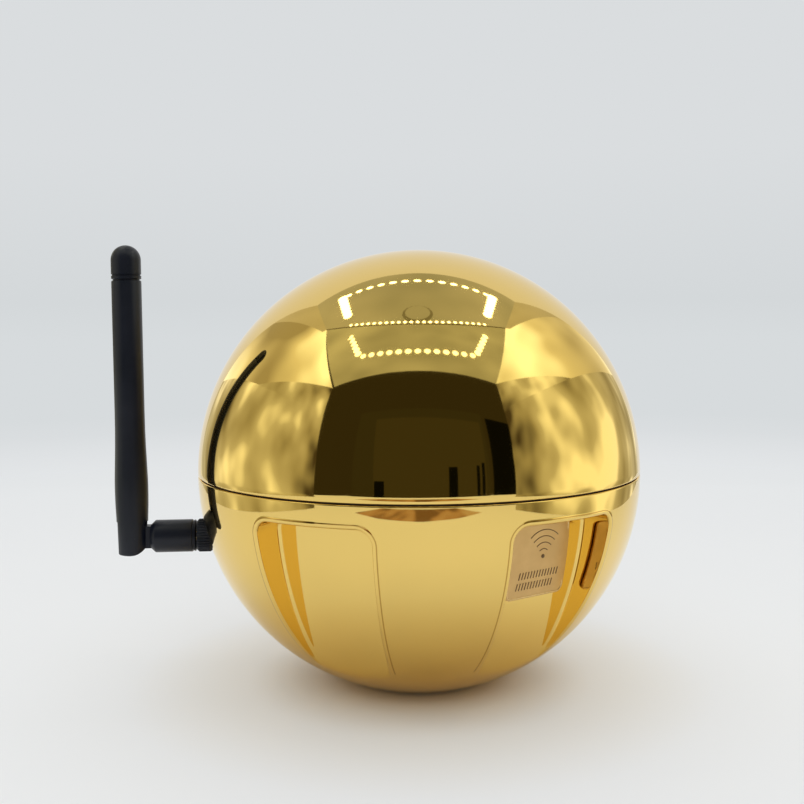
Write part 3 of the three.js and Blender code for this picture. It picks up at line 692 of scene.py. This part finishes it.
def label_line(name, points, width, closed=False):
    """A flat ribbon laid on the label along points (across, up)."""
    curve = bpy.data.curves.new(name, "CURVE")
    curve.dimensions = "3D"
    curve.bevel_depth = width / 2
    curve.bevel_resolution = 2
    spline = curve.splines.new("POLY")
    spline.points.add(len(points) - 1)
    for slot_point, (across, up) in zip(spline.points, points):
        slot_point.co = tuple(on_label(across, up, 0.0)) + (1,)
    spline.use_cyclic_u = closed
    made = bpy.data.objects.new(name, curve)
    bpy.context.scene.collection.objects.link(made)
    take(made)
    bpy.ops.object.convert(target="MESH")
    return bpy.context.object


marks = []
MARK_ACROSS, MARK_UP = 1.3 * MM, 0.6 * MM


def round_mark(reach, degrees):
    angle = math.radians(degrees)
    return MARK_ACROSS + reach * math.sin(angle), MARK_UP + reach * math.cos(angle)


for reach in (2.0, 3.7, 5.4, 7.1):
    marks.append(label_line("arc", [round_mark(reach * MM, a) for a in range(-42, 43, 6)], 0.26 * MM))
marks.append(label_line("dot", [round_mark(0.35 * MM, a) for a in range(0, 360, 60)], 0.5 * MM, closed=True))
for height, left, ticks in ((-4.0, -6.2, 14), (-6.9, -6.7, 13)):
    for tick in range(ticks):
        at = left + 1.0 * tick
        foot, head = (at * MM, (height - 0.95) * MM), ((at + 0.28) * MM, (height + 0.95) * MM)
        marks.append(label_line("tick", [foot, head], 0.3 * MM))
label_marks = join(marks)
settle(label_marks, "label_marks")
paint(label_marks, etched)
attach(label_marks, "ball_body")
RIM_INSET, RIM_CORNER = 0.45 * MM, 1.6 * MM
corner_across = LABEL_WIDE / 2 - RIM_INSET - RIM_CORNER
corner_up = LABEL_TALL / 2 - RIM_INSET - RIM_CORNER
turns = []
for cx, cy, first in ((1, 1, 0), (-1, 1, 90), (-1, -1, 180), (1, -1, 270)):
    for step in range(0, 91, 15):
        angle = math.radians(first + step)
        turns.append((cx * corner_across + RIM_CORNER * math.cos(angle),
                      cy * corner_up + RIM_CORNER * math.sin(angle)))
label_rim = label_line("label_rim", turns, 0.3 * MM, closed=True)
settle(label_rim, "label_rim")
paint(label_rim, plain_finish("rim_brass", (0.78, 0.58, 0.28), (0.85, 0.65, 0.34), 0.25, metallic=1.0))
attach(label_rim, "ball_body")


# ---------------------------------------------------------------- antenna
# A satin black whip antenna: a knurled coupling nut, a swivelling knuckle with a flat tongue, a forked
# blade that hinges on the tongue, and a rounded tip over a fine groove.
HINGE_X = -83.4 * MM
antenna_black = plain_finish("antenna_black", (0.005, 0.007, 0.013), (0.008, 0.010, 0.018), 0.36,
                             grain=70, relief=0.02 * MM)
antenna_black.node_tree.nodes["Principled BSDF"].inputs["Specular IOR Level"].default_value = 0.32


def turned(name, profile, sides=96, knurls=0, knurl_depth=0.0, knurl_span=(0, 0)):
    """A lathe body round Z from (radius, height) steps, closed at both ends, with grooves along a span."""
    work = bmesh.new()
    rings = []
    for radius, height in profile:
        ring = []
        for side in range(sides):
            angle = 2 * math.pi * side / sides
            at = radius
            if knurls and knurl_span[0] <= height <= knurl_span[1]:
                at -= knurl_depth * (0.5 + 0.5 * math.cos(knurls * angle))
            ring.append(work.verts.new((at * math.cos(angle), at * math.sin(angle), height)))
        rings.append(ring)
    for low, high in zip(rings, rings[1:]):
        for side in range(sides):
            after = (side + 1) % sides
            work.faces.new((low[side], low[after], high[after], high[side]))
    work.faces.new(list(reversed(rings[0])))
    work.faces.new(rings[-1])
    mesh = bpy.data.meshes.new(name)
    work.to_mesh(mesh)
    work.free()
    made = bpy.data.objects.new(name, mesh)
    bpy.context.scene.collection.objects.link(made)
    return made


def finish_piece(piece, name, material, node, body, angle=35):
    settle(piece, name)
    smooth(piece, angle)
    paint(piece, material)
    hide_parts(node)
    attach(piece, body)


# The nut's axis and the knuckle's axis run along -X, so the lathe bodies are laid over on their side.
nut_low, nut_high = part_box("antenna_nut")
nut_long = nut_high.x - nut_low.x
NUT_RADIUS = 4.8 * MM
nut = turned("coupling_nut_skin", [
    (3.5 * MM, 0.35 * MM), (3.5 * MM, 0), (NUT_RADIUS - 0.5 * MM, 0), (NUT_RADIUS, 0.5 * MM),
    (NUT_RADIUS, nut_long - 0.55 * MM), (NUT_RADIUS - 0.55 * MM, nut_long), (3.5 * MM, nut_long),
    (3.5 * MM, nut_long - 0.35 * MM),
], sides=288, knurls=36, knurl_depth=0.32 * MM, knurl_span=(0.4 * MM, nut_long - 0.5 * MM))
nut.rotation_euler = (0, math.radians(-90), 0)
nut.location = (nut_high.x, 0, JACK_HEIGHT)
finish_piece(nut, "coupling_nut_skin", antenna_black, "antenna_nut", "coupling_nut", 30)

knuckle_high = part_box("antenna_knuckle")[1]
BARREL = 13 * MM
TONGUE_HALF = 1.8 * MM
TONGUE_RADIUS = 3.6 * MM
barrel = turned("knuckle_barrel", [
    (4.25 * MM, 0), (4.5 * MM, 0.15 * MM), (4.55 * MM, 0.5 * MM), (4.35 * MM, 0.65 * MM),
    (4.35 * MM, 0.85 * MM), (4.6 * MM, 1.0 * MM), (4.7 * MM, 1.2 * MM),
    (4.7 * MM, BARREL - 1.5 * MM), (4.6 * MM, BARREL - 1.25 * MM), (3.6 * MM, BARREL - 0.2 * MM),
    (3.4 * MM, BARREL),
])
barrel.rotation_euler = (0, math.radians(-90), 0)
barrel.location = (knuckle_high.x, 0, JACK_HEIGHT)
settle(barrel, "knuckle_barrel")
eye = rod("eye", TONGUE_RADIUS, (HINGE_X, -TONGUE_HALF, JACK_HEIGHT), (HINGE_X, TONGUE_HALF, JACK_HEIGHT), 64)
neck_end = knuckle_high.x - BARREL + 0.5 * MM
neck = block("neck", (neck_end - HINGE_X, 2 * TONGUE_HALF, 6.4 * MM),
             ((neck_end + HINGE_X) / 2, 0, JACK_HEIGHT))
knuckle_skin = join([barrel, eye, neck])
finish_piece(knuckle_skin, "knuckle_skin", antenna_black, "antenna_knuckle", "knuckle")

BLADE_FOOT = 38.6 * MM
BLADE_TOP = 117.5 * MM
FORK_TOP = 48.2 * MM
FORK_LOW = BLADE_FOOT - 6 * MM


def above_hinge(radius, height):
    return radius * MM, JACK_HEIGHT - BLADE_FOOT + height * MM


blade = turned("blade_skin", [
    (3.75 * MM, 0), (4.15 * MM, 0.18 * MM), (4.33 * MM, 0.55 * MM), above_hinge(4.5, 5.4),
    above_hinge(4.65, 9), above_hinge(4.71, 12), above_hinge(4.72, 14.5), above_hinge(4.69, 17),
    above_hinge(4.56, 20.5), above_hinge(4.36, 26), above_hinge(4.24, 31), above_hinge(4.2, 37),
    (4.2 * MM, BLADE_TOP - BLADE_FOOT - 0.4 * MM), (4.1 * MM, BLADE_TOP - BLADE_FOOT - 0.1 * MM),
    (3.95 * MM, BLADE_TOP - BLADE_FOOT),
])
blade.location = (HINGE_X, 0, BLADE_FOOT)
settle(blade, "blade_skin")
cut(blade, block("fork", (12 * MM, 4.3 * MM, FORK_TOP - FORK_LOW), (HINGE_X, 0, (FORK_TOP + FORK_LOW) / 2)))
# The corner next to the ball is rounded round the hinge, so that the blade can turn against the knuckle.
corner_block = block("corner_block", (8 * MM, 14 * MM, 8 * MM), (HINGE_X + 4 * MM, 0, JACK_HEIGHT - 4 * MM))
hinge_round = rod("hinge_round", 4.9 * MM, (HINGE_X, -9 * MM, JACK_HEIGHT),
                  (HINGE_X, 9 * MM, JACK_HEIGHT), 96)
cut(corner_block, hinge_round)
cut(blade, corner_block)
finish_piece(blade, "blade_skin", antenna_black, "antenna_blade", "blade")

TIP_RADIUS = 4.2 * MM
TIP_SEAT = BLADE_TOP + 0.3 * MM
tip_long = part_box("antenna_tip")[1].z - TIP_SEAT
tip_profile = [(3.7 * MM, -0.28 * MM), (3.7 * MM, 0), (4.0 * MM, 0.08 * MM), (TIP_RADIUS, 0.3 * MM),
               (TIP_RADIUS, 1.0 * MM), (3.95 * MM, 1.15 * MM), (3.95 * MM, 1.35 * MM), (TIP_RADIUS, 1.5 * MM)]
for step in range(0, 17):
    angle = math.radians(90 * step / 17)
    tip_profile.append((TIP_RADIUS * math.cos(angle), tip_long - TIP_RADIUS * (1 - math.sin(angle))))
tip_profile.append((0.05 * MM, tip_long))
tip = turned("tip_skin", tip_profile)
tip.location = (HINGE_X, 0, TIP_SEAT)
finish_piece(tip, "tip_skin", antenna_black, "antenna_tip", "blade")
dress(["hinge_pin", "antenna_radiator"], antenna_black)


# ---------------------------------------------------------------- jack, button and charging socket
# The gold-plated jack behind the coupling nut, the black push button and the steel-lined slot at the rear.
plated = plain_finish("plated_brass", (0.60, 0.43, 0.16), (0.70, 0.51, 0.20), 0.25, metallic=1.0)
steel = plain_finish("steel", (0.42, 0.42, 0.43), (0.52, 0.52, 0.53), 0.3, metallic=1.0, grain=120)
white_plastic = plain_finish("white_plastic", (0.62, 0.61, 0.58), (0.68, 0.67, 0.64), 0.45)
grey_plastic = plain_finish("grey_plastic", (0.16, 0.16, 0.17), (0.20, 0.20, 0.21), 0.5, relief=0.03 * MM)
black_plastic = plain_finish("black_plastic", (0.015, 0.015, 0.016), (0.024, 0.024, 0.026), 0.45,
                             relief=0.03 * MM)
dress(["jack_body", "jack_contact", "jack_washer", "jack_nut", "antenna_ferrule", "antenna_contact"], plated)
dress(["jack_insulator"], white_plastic)
dress(["power_button", "switch_body", "socket_tongue"], black_plastic)
dress(["charge_socket"], steel)


# ---------------------------------------------------------------- inner works
# The chassis, battery, boards and lamp that the closed ball hides, each with its own finish.
board_green = plain_finish("board_green", (0.012, 0.09, 0.035), (0.02, 0.13, 0.05), 0.4, grain=160)
cell_wrap = plain_finish("cell_wrap", (0.02, 0.12, 0.30), (0.03, 0.16, 0.38), 0.35, grain=40)
frosted = plain_finish("frosted_plastic", (0.75, 0.74, 0.70), (0.82, 0.81, 0.78), 0.6)
dress(["chassis_plate", "battery_tray"], grey_plastic)
dress(["battery_cell_1", "battery_cell_2"], cell_wrap)
dress(["main_board", "io_board", "light_board"], board_green)
dress(["processor", "radio_module", "coax_lead", "io_lead", "battery_lead"], black_plastic)
dress(["radio_shield"], steel)
dress(["coax_plug"], plated)
dress(["light_post_1", "light_post_2", "light_post_3"], white_plastic)
dress(["light_diffuser"], frosted)
screws = [f"{kind}_screw_{n}" for kind, count in
          (("dome", 4), ("chassis", 4), ("tray", 2), ("board", 4), ("io", 2)) for n in range(1, count + 1)]
dress(screws, steel)


# ---------------------------------------------------------------- stage
# A pale floor and backdrop, and the inside of a folding light tent that the plating mirrors: an open front
# on a dim room, foil sides with a fold, a grey ceiling with a ring of lamps, and a sloping foil flap.
def glow(name, colour, strength=1.0):
    made = bpy.data.materials.new(name)
    made.use_nodes = True
    tree = made.node_tree
    tree.nodes.remove(tree.nodes["Principled BSDF"])
    light = tree.nodes.new("ShaderNodeEmission")
    light.inputs["Color"].default_value = colour
    light.inputs["Strength"].default_value = strength
    tree.links.new(light.outputs["Emission"], tree.nodes["Material Output"].inputs["Surface"])
    return made, tree, light


def greys(tree, value, light, stops):
    """A ramp of stops (position, colour) into a glow."""
    ramp = tree.nodes.new("ShaderNodeValToRGB")
    stock = ramp.color_ramp.elements
    while len(stock) < len(stops):
        stock.new(0.5)
    for element, (position, colour) in zip(stock, stops):
        element.position = position
        element.color = tuple(colour) + (1,)
    tree.links.new(value, ramp.inputs["Fac"])
    tree.links.new(ramp.outputs["Color"], light.inputs["Color"])


def only_mirrored(piece):
    for ray in ("visible_camera", "visible_diffuse", "visible_shadow", "visible_transmission"):
        setattr(piece, ray, False)


def panel(name, corners, material):
    mesh = bpy.data.meshes.new(name)
    turned_corners = [CENTRE + to_view @ (Vector(c) * BALL_RADIUS) for c in corners]
    mesh.from_pydata(turned_corners, [], [tuple(range(len(corners)))])
    made = bpy.data.objects.new(name, mesh)
    bpy.context.scene.collection.objects.link(made)
    paint(made, material)
    only_mirrored(made)
    return made


# The floor takes the ball's shadow near by, and melts into the backdrop's tone further off. From a few
# centimetres out, a painted glow mixed into the paint also lightens the ball's shadow.
floor_material, floor_tree, floor_shader = new_material("floor_paint")
floor_shader.inputs["Base Color"].default_value = (0.86, 0.87, 0.875, 1)
floor_shader.inputs["Roughness"].default_value = 0.7
floor_shader.inputs["Specular IOR Level"].default_value = 0.2


def painted_gold_bounce(tree, shader, far):
    """Paints the gold's bounced light as a warm tint on the paint close to the ball. Gives back the distance
    from it.
    """
    place = tree.nodes.new("ShaderNodeTexCoord")
    reach = tree.nodes.new("ShaderNodeVectorMath")
    reach.operation = "LENGTH"
    tree.links.new(place.outputs["Object"], reach.inputs[0])
    two_tone(tree, shader, reach.outputs["Value"], (0.80, 0.70, 0.50, 1), far, 0.03, 0.085)
    return reach.outputs["Value"]


floor_reach = painted_gold_bounce(floor_tree, floor_shader, (0.86, 0.87, 0.875, 1))
painted_floor_glow = floor_tree.nodes.new("ShaderNodeEmission")
greys(floor_tree, floor_reach, painted_floor_glow, [
    (0.40, (0.79, 0.81, 0.82)), (0.58, (0.745, 0.765, 0.78)), (0.74, (0.70, 0.725, 0.74)),
    (0.92, (0.679, 0.708, 0.723))])
blend_floor = floor_tree.nodes.new("ShaderNodeMixShader")
blend_share = floor_tree.nodes.new("ShaderNodeValToRGB")
share_stops = blend_share.color_ramp.elements
share_stops[0].position, share_stops[0].color = 0.022, (0, 0, 0, 1)
share_stops[1].position, share_stops[1].color = 0.5, (1, 1, 1, 1)
for position, level in ((0.05, 0.42), (0.22, 0.42)):
    share_stops.new(position).color = (level, level, level, 1)
floor_tree.links.new(floor_reach, blend_share.inputs["Fac"])
floor_tree.links.new(blend_share.outputs["Color"], blend_floor.inputs["Fac"])
floor_tree.links.new(floor_shader.outputs["BSDF"], blend_floor.inputs[1])
floor_tree.links.new(painted_floor_glow.outputs["Emission"], blend_floor.inputs[2])
floor_tree.links.new(blend_floor.outputs["Shader"], floor_tree.nodes["Material Output"].inputs["Surface"])
FLOOR_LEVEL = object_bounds()[0].z
deselect_all()
bpy.ops.mesh.primitive_plane_add(size=12, location=(0, 0, FLOOR_LEVEL))
studio_floor = bpy.context.object
studio_floor.name = "studio_floor"
paint(studio_floor, floor_material)
studio_floor.visible_glossy = False

backdrop_material, backdrop_tree, backdrop_light = glow("backdrop_paint", (0.68, 0.71, 0.73, 1))
place = backdrop_tree.nodes.new("ShaderNodeTexCoord")
parts = backdrop_tree.nodes.new("ShaderNodeSeparateXYZ")
backdrop_tree.links.new(place.outputs["Object"], parts.inputs["Vector"])
greys(backdrop_tree, parts.outputs["Z"], backdrop_light, [
    (0.0, (0.679, 0.708, 0.723)), (0.2, (0.658, 0.686, 0.701)), (0.95, (0.701, 0.723, 0.738))])
deselect_all()
bpy.ops.mesh.primitive_uv_sphere_add(segments=64, ring_count=32, radius=5.5, location=(0, 0, 0))
backdrop = bpy.context.object
backdrop.name = "backdrop"
paint(backdrop, backdrop_material)
for ray in ("visible_diffuse", "visible_glossy", "visible_shadow", "visible_transmission"):
    setattr(backdrop, ray, False)

# The tent is measured in ball radii from the ball's centre, with the open front towards the camera.
LEFT, RIGHT, BACK, FRONT, TOP = -4.5, 4.3, 3.7, -3.65, 6.9
FOLD, FLAP_LOW, REAR = -1.43, 4.85, 5.7
SHEET = (FLOOR_LEVEL - SEAM_HEIGHT) / BALL_RADIUS + 0.001
table_material, _, table_shader = new_material("table_paint")
table_shader.inputs["Base Color"].default_value = (0.86, 0.87, 0.86, 1)
table_shader.inputs["Roughness"].default_value = 0.8
# The table's paint gets the same painted warm bounce light near the ball.
painted_gold_bounce(table_material.node_tree, table_shader, (0.86, 0.87, 0.86, 1))
panel("table", [(-6, -9, SHEET), (6, -9, SHEET), (6, REAR, SHEET), (-6, REAR, SHEET)], table_material)
strip, strip_tree, strip_light = glow("table_edge", (0.40, 0.25, 0.14, 1))
greys(strip_tree, noise(strip_tree, 14, 2, (1, 0.3, 1)), strip_light, [
    (0.42, (0.20, 0.115, 0.055)), (0.5, (0.44, 0.27, 0.14)), (0.6, (0.52, 0.38, 0.24))])
STRIP_OUTLINE = ((-2.25, -4.28), (-1.2, -3.96), (0, -3.83), (1.2, -3.96), (2.2, -4.26),
                 (1.6, -5.6), (-1.6, -5.6))
panel("table_edge", [(x, y, SHEET + 0.01) for x, y in STRIP_OUTLINE], strip)
back_wall, _, _ = glow("tent_back", (0.80, 0.80, 0.79, 1))
panel("tent_back", [(LEFT, REAR, SHEET), (RIGHT, REAR, SHEET), (RIGHT, BACK, TOP), (LEFT, BACK, TOP)],
      back_wall)


def cloth_glow(name, scale, stretch, stops, dim_front=0.0):
    """Foil that shines unevenly, and can be dimmer towards the tent's open front."""
    made, tree, light = glow(name, (1, 1, 1, 1))
    value = noise(tree, scale, 2, stretch)
    if dim_front:
        place = tree.nodes.new("ShaderNodeTexCoord")
        parts = tree.nodes.new("ShaderNodeSeparateXYZ")
        tree.links.new(place.outputs["Object"], parts.inputs["Vector"])
        lower = tree.nodes.new("ShaderNodeMath")
        lower.operation = "ADD"
        tree.links.new(value, lower.inputs[0])
        tree.links.new(spread(tree, parts.outputs["Y"], -dim_front, 0, -0.24, -0.13), lower.inputs[1])
        value = lower.outputs["Value"]
    greys(tree, value, light, stops)
    return made


ceiling = cloth_glow("ceiling_foil", 3, (1, 1, 1), [(0.3, (0.38, 0.385, 0.33)), (0.7, (0.62, 0.61, 0.54))])
# The fold between ceiling and flap bows towards the open front in its middle.
FOLD_BOW = 1.75


def fold_at(x):
    return FOLD + FOLD_BOW * (x / LEFT) ** 2


across_tent = [LEFT + (RIGHT - LEFT) * k / 16 for k in range(17)]
fold_line = [(x, fold_at(x), TOP) for x in across_tent]


def strip_between(name, first, second, material):
    """A band of quads between two lines of as many points."""
    for k in range(len(first) - 1):
        panel(name, [first[k], first[k + 1], second[k + 1], second[k]], material)


strip_between("tent_ceiling", fold_line, [(x, BACK, TOP) for x, y, z in fold_line], ceiling)
flap = cloth_glow("flap_foil", 4, (1, 1.6, 1.6), [(0.3, (0.30, 0.30, 0.23)), (0.7, (0.62, 0.62, 0.50))])


def flap_edge_at(x):
    """The flap's lower edge sags a little in its middle."""
    return x * 0.97, FRONT, FLAP_LOW - 0.17 + 0.14 * (x / LEFT) ** 2


strip_between("tent_flap", fold_line, [flap_edge_at(x) for x in across_tent], flap)
high_foil = cloth_glow("high_foil", 4, (1, 1, 1), [(0.3, (0.50, 0.47, 0.36)), (0.7, (0.66, 0.63, 0.52))])
bright_foil = cloth_glow("bright_foil", 2.6, (1, 1, 1), [
    (0.34, (0.42, 0.38, 0.26)), (0.46, (0.9, 0.86, 0.66)), (0.56, (1.6, 1.7, 1.6))])
wavy_foil = cloth_glow("wavy_foil", 7.0, (1, 1.3, 0.9), [
    (0.28, (0.07, 0.055, 0.03)), (0.42, (0.40, 0.37, 0.25)), (0.55, (0.62, 0.60, 0.47)),
    (0.66, (1.25, 1.25, 1.1))], dim_front=0.2)
# Each side wall has two creases that fall away to the rear: a wavy foil below the lower one, a bright
# panel between them, and a dimmer one above. Its front edge leans in towards the table.
CREASE_LOW = [(0.54, 2.34), (2.54, 1.93), (REAR, 1.2)]
CREASE_HIGH = [(REAR, 3.22), (0.31, 6.48)]
LEFT_EDGE, RIGHT_EDGE = (3.9, 3.84, 4.16, 4.5), (3.4, 3.36, 3.55, 3.95)
for name, x, front_edge in (("left", LEFT, LEFT_EDGE), ("right", RIGHT, RIGHT_EDGE)):
    side = 1 if x > 0 else -1
    front = [(side * reach, FRONT, z) for reach, z in zip(front_edge, (SHEET, 0.87, 2.97, 4.8))]
    panel("tent_low_" + name, [(x, REAR, SHEET)] + front + [(x, y, z) for y, z in CREASE_LOW], wavy_foil)
    low, high = ([(x, y, z) for y, z in line] for line in (CREASE_LOW, CREASE_HIGH))
    fold_end = (x, fold_at(x), TOP)
    panel("tent_mid_" + name, [front[-1]] + low + high + [fold_end], bright_foil)
    panel("tent_top_" + name, high + [fold_end, (x, BACK, TOP), (x, REAR, TOP)], high_foil)


# The ring of lamps in the ceiling, and its paler image in the flap.
def lamps(name, places, radius, facing, material):
    work = bmesh.new()
    for at in places:
        spot = Matrix.Translation(CENTRE + to_view @ (Vector(at) * BALL_RADIUS))
        bmesh.ops.create_circle(work, cap_ends=True, segments=16, radius=radius * BALL_RADIUS,
                                matrix=spot @ to_view.to_4x4() @ facing)
    mesh = bpy.data.meshes.new(name)
    work.to_mesh(mesh)
    work.free()
    made = bpy.data.objects.new(name, mesh)
    bpy.context.scene.collection.objects.link(made)
    paint(made, material)
    only_mirrored(made)


lamp_glow, _, _ = glow("lamp_glow", (1, 0.98, 0.88, 1), 6)
RING_X, RING_FAR = 3.15, 2.55
far_row = [(RING_X * (k / 6 - 1) * 0.9, RING_FAR, TOP - 0.02) for k in range(13)]
lamps("far_lamps", far_row, 0.145, Matrix.Identity(4), lamp_glow)
near_row = [(RING_X * (k / 11 - 1), fold_at(RING_X * (k / 11 - 1)) + 0.16, TOP - 0.02) for k in range(23)]
lamps("near_lamps", near_row, 0.08, Matrix.Identity(4), lamp_glow)
columns = [(x, 0.5 + (RING_FAR - 0.5) * k / 7, TOP - 0.02) for k in range(8) for x in (-RING_X, RING_X)]
lamps("column_lamps", columns, 0.24, Matrix.Identity(4), lamp_glow)
flap_glow, _, _ = glow("flap_lamp_glow", (1, 0.97, 0.84, 1), 3.5)
SLOPE = (TOP - FLAP_LOW) / (FOLD - FRONT)


def on_flap(x, share):
    """A point just under the flap, a share of the way from its lower edge to the fold."""
    on_edge, on_fold = Vector(flap_edge_at(x)), Vector((x, fold_at(x), TOP))
    return on_edge.lerp(on_fold, share) - Vector((0, 0, 0.06))


lean = Matrix.Rotation(math.atan(SLOPE), 4, "X")
lamps("flap_row", [on_flap(2.5 * (k / 6 - 1), 0.36) for k in range(13)], 0.14, lean, flap_glow)
lamps("flap_columns", [on_flap(sign * (2.75 + 0.4 * k / 5), 0.42 + 0.34 * k / 5)
                       for k in range(6) for sign in (-1, 1)], 0.17, lean, flap_glow)
hole_glow, _, _ = glow("hole_glow", (0.22, 0.21, 0.15, 1))
lamps("ceiling_hole", [(0, -0.67, TOP - 0.01)], 0.68, Matrix.Identity(4), hole_glow)
lamps("ceiling_plug", [(0, -0.55, TOP - 0.015)], 0.55, Matrix.Identity(4), ceiling)
crease, _, _ = glow("crease_line", (0.10, 0.085, 0.04, 1))
strip_between("crease_line", [(x, y - 0.04, z - 0.03) for x, y, z in fold_line],
              [(x, y + 0.04, z - 0.03) for x, y, z in fold_line], crease)

# The dim room in front of the tent: a plain wall, a paler panel on it, and a few dark uprights.
room_wall, _, _ = glow("room_wall", (0.036, 0.029, 0.012, 1))
deselect_all()
bpy.ops.mesh.primitive_uv_sphere_add(segments=32, ring_count=16, radius=30 * BALL_RADIUS, location=CENTRE)
room = bpy.context.object
room.name = "room"
paint(room, room_wall)
only_mirrored(room)
pale_panel, _, _ = glow("room_panel", (0.052, 0.043, 0.017, 1))
panel("room_panel", [(-3.0, -8.2, -1), (5.0, -8.2, -1), (4.9, -8.2, 4.9), (-3.2, -8.2, 5.0)], pale_panel)
band, _, _ = glow("room_band", (0.040, 0.034, 0.014, 1))
panel("room_band", [(-4.9, -8.3, -1), (5.4, -8.3, -1), (5.3, -8.3, 5.9), (-4.8, -8.3, 5.9)], band)
post, _, _ = glow("room_post", (0.004, 0.004, 0.002, 1))
for left, right, high in ((1.95, 2.55, 1.2), (-2.9, -2.2, 0.3), (4.0, 4.25, 1.3), (4.45, 4.7, 1.5),
                          (5.5, 8.8, 5.3)):
    panel("room_post", [(left, -8, -1), (right, -8, -1), (right, -8, high), (left, -8, high)], post)

world = bpy.data.worlds.new("studio")
bpy.context.scene.world = world
world.use_nodes = True
world.node_tree.nodes["Background"].inputs["Color"].default_value = (0.46, 0.46, 0.46, 1)


# Soft light from above and in front, on the floor and the matt pieces.
def softbox(name, x, y, z, size, power):
    data = bpy.data.lights.new(name, "AREA")
    data.shape = "RECTANGLE"
    data.size, data.size_y = size
    data.energy = power
    made = bpy.data.objects.new(name, data)
    bpy.context.scene.collection.objects.link(made)
    made.location = CENTRE + to_view @ Vector((x, y, z))
    made.rotation_euler = (CENTRE - made.location).to_track_quat("-Z", "Y").to_euler()
    made.visible_glossy = False
    made.visible_camera = False


softbox("softbox_top", 0, 0.05, 0.9, (1.3, 1.3), 6.6)
softbox("softbox_front", 0, -1.2, 0.6, (1.2, 0.8), 3.5)
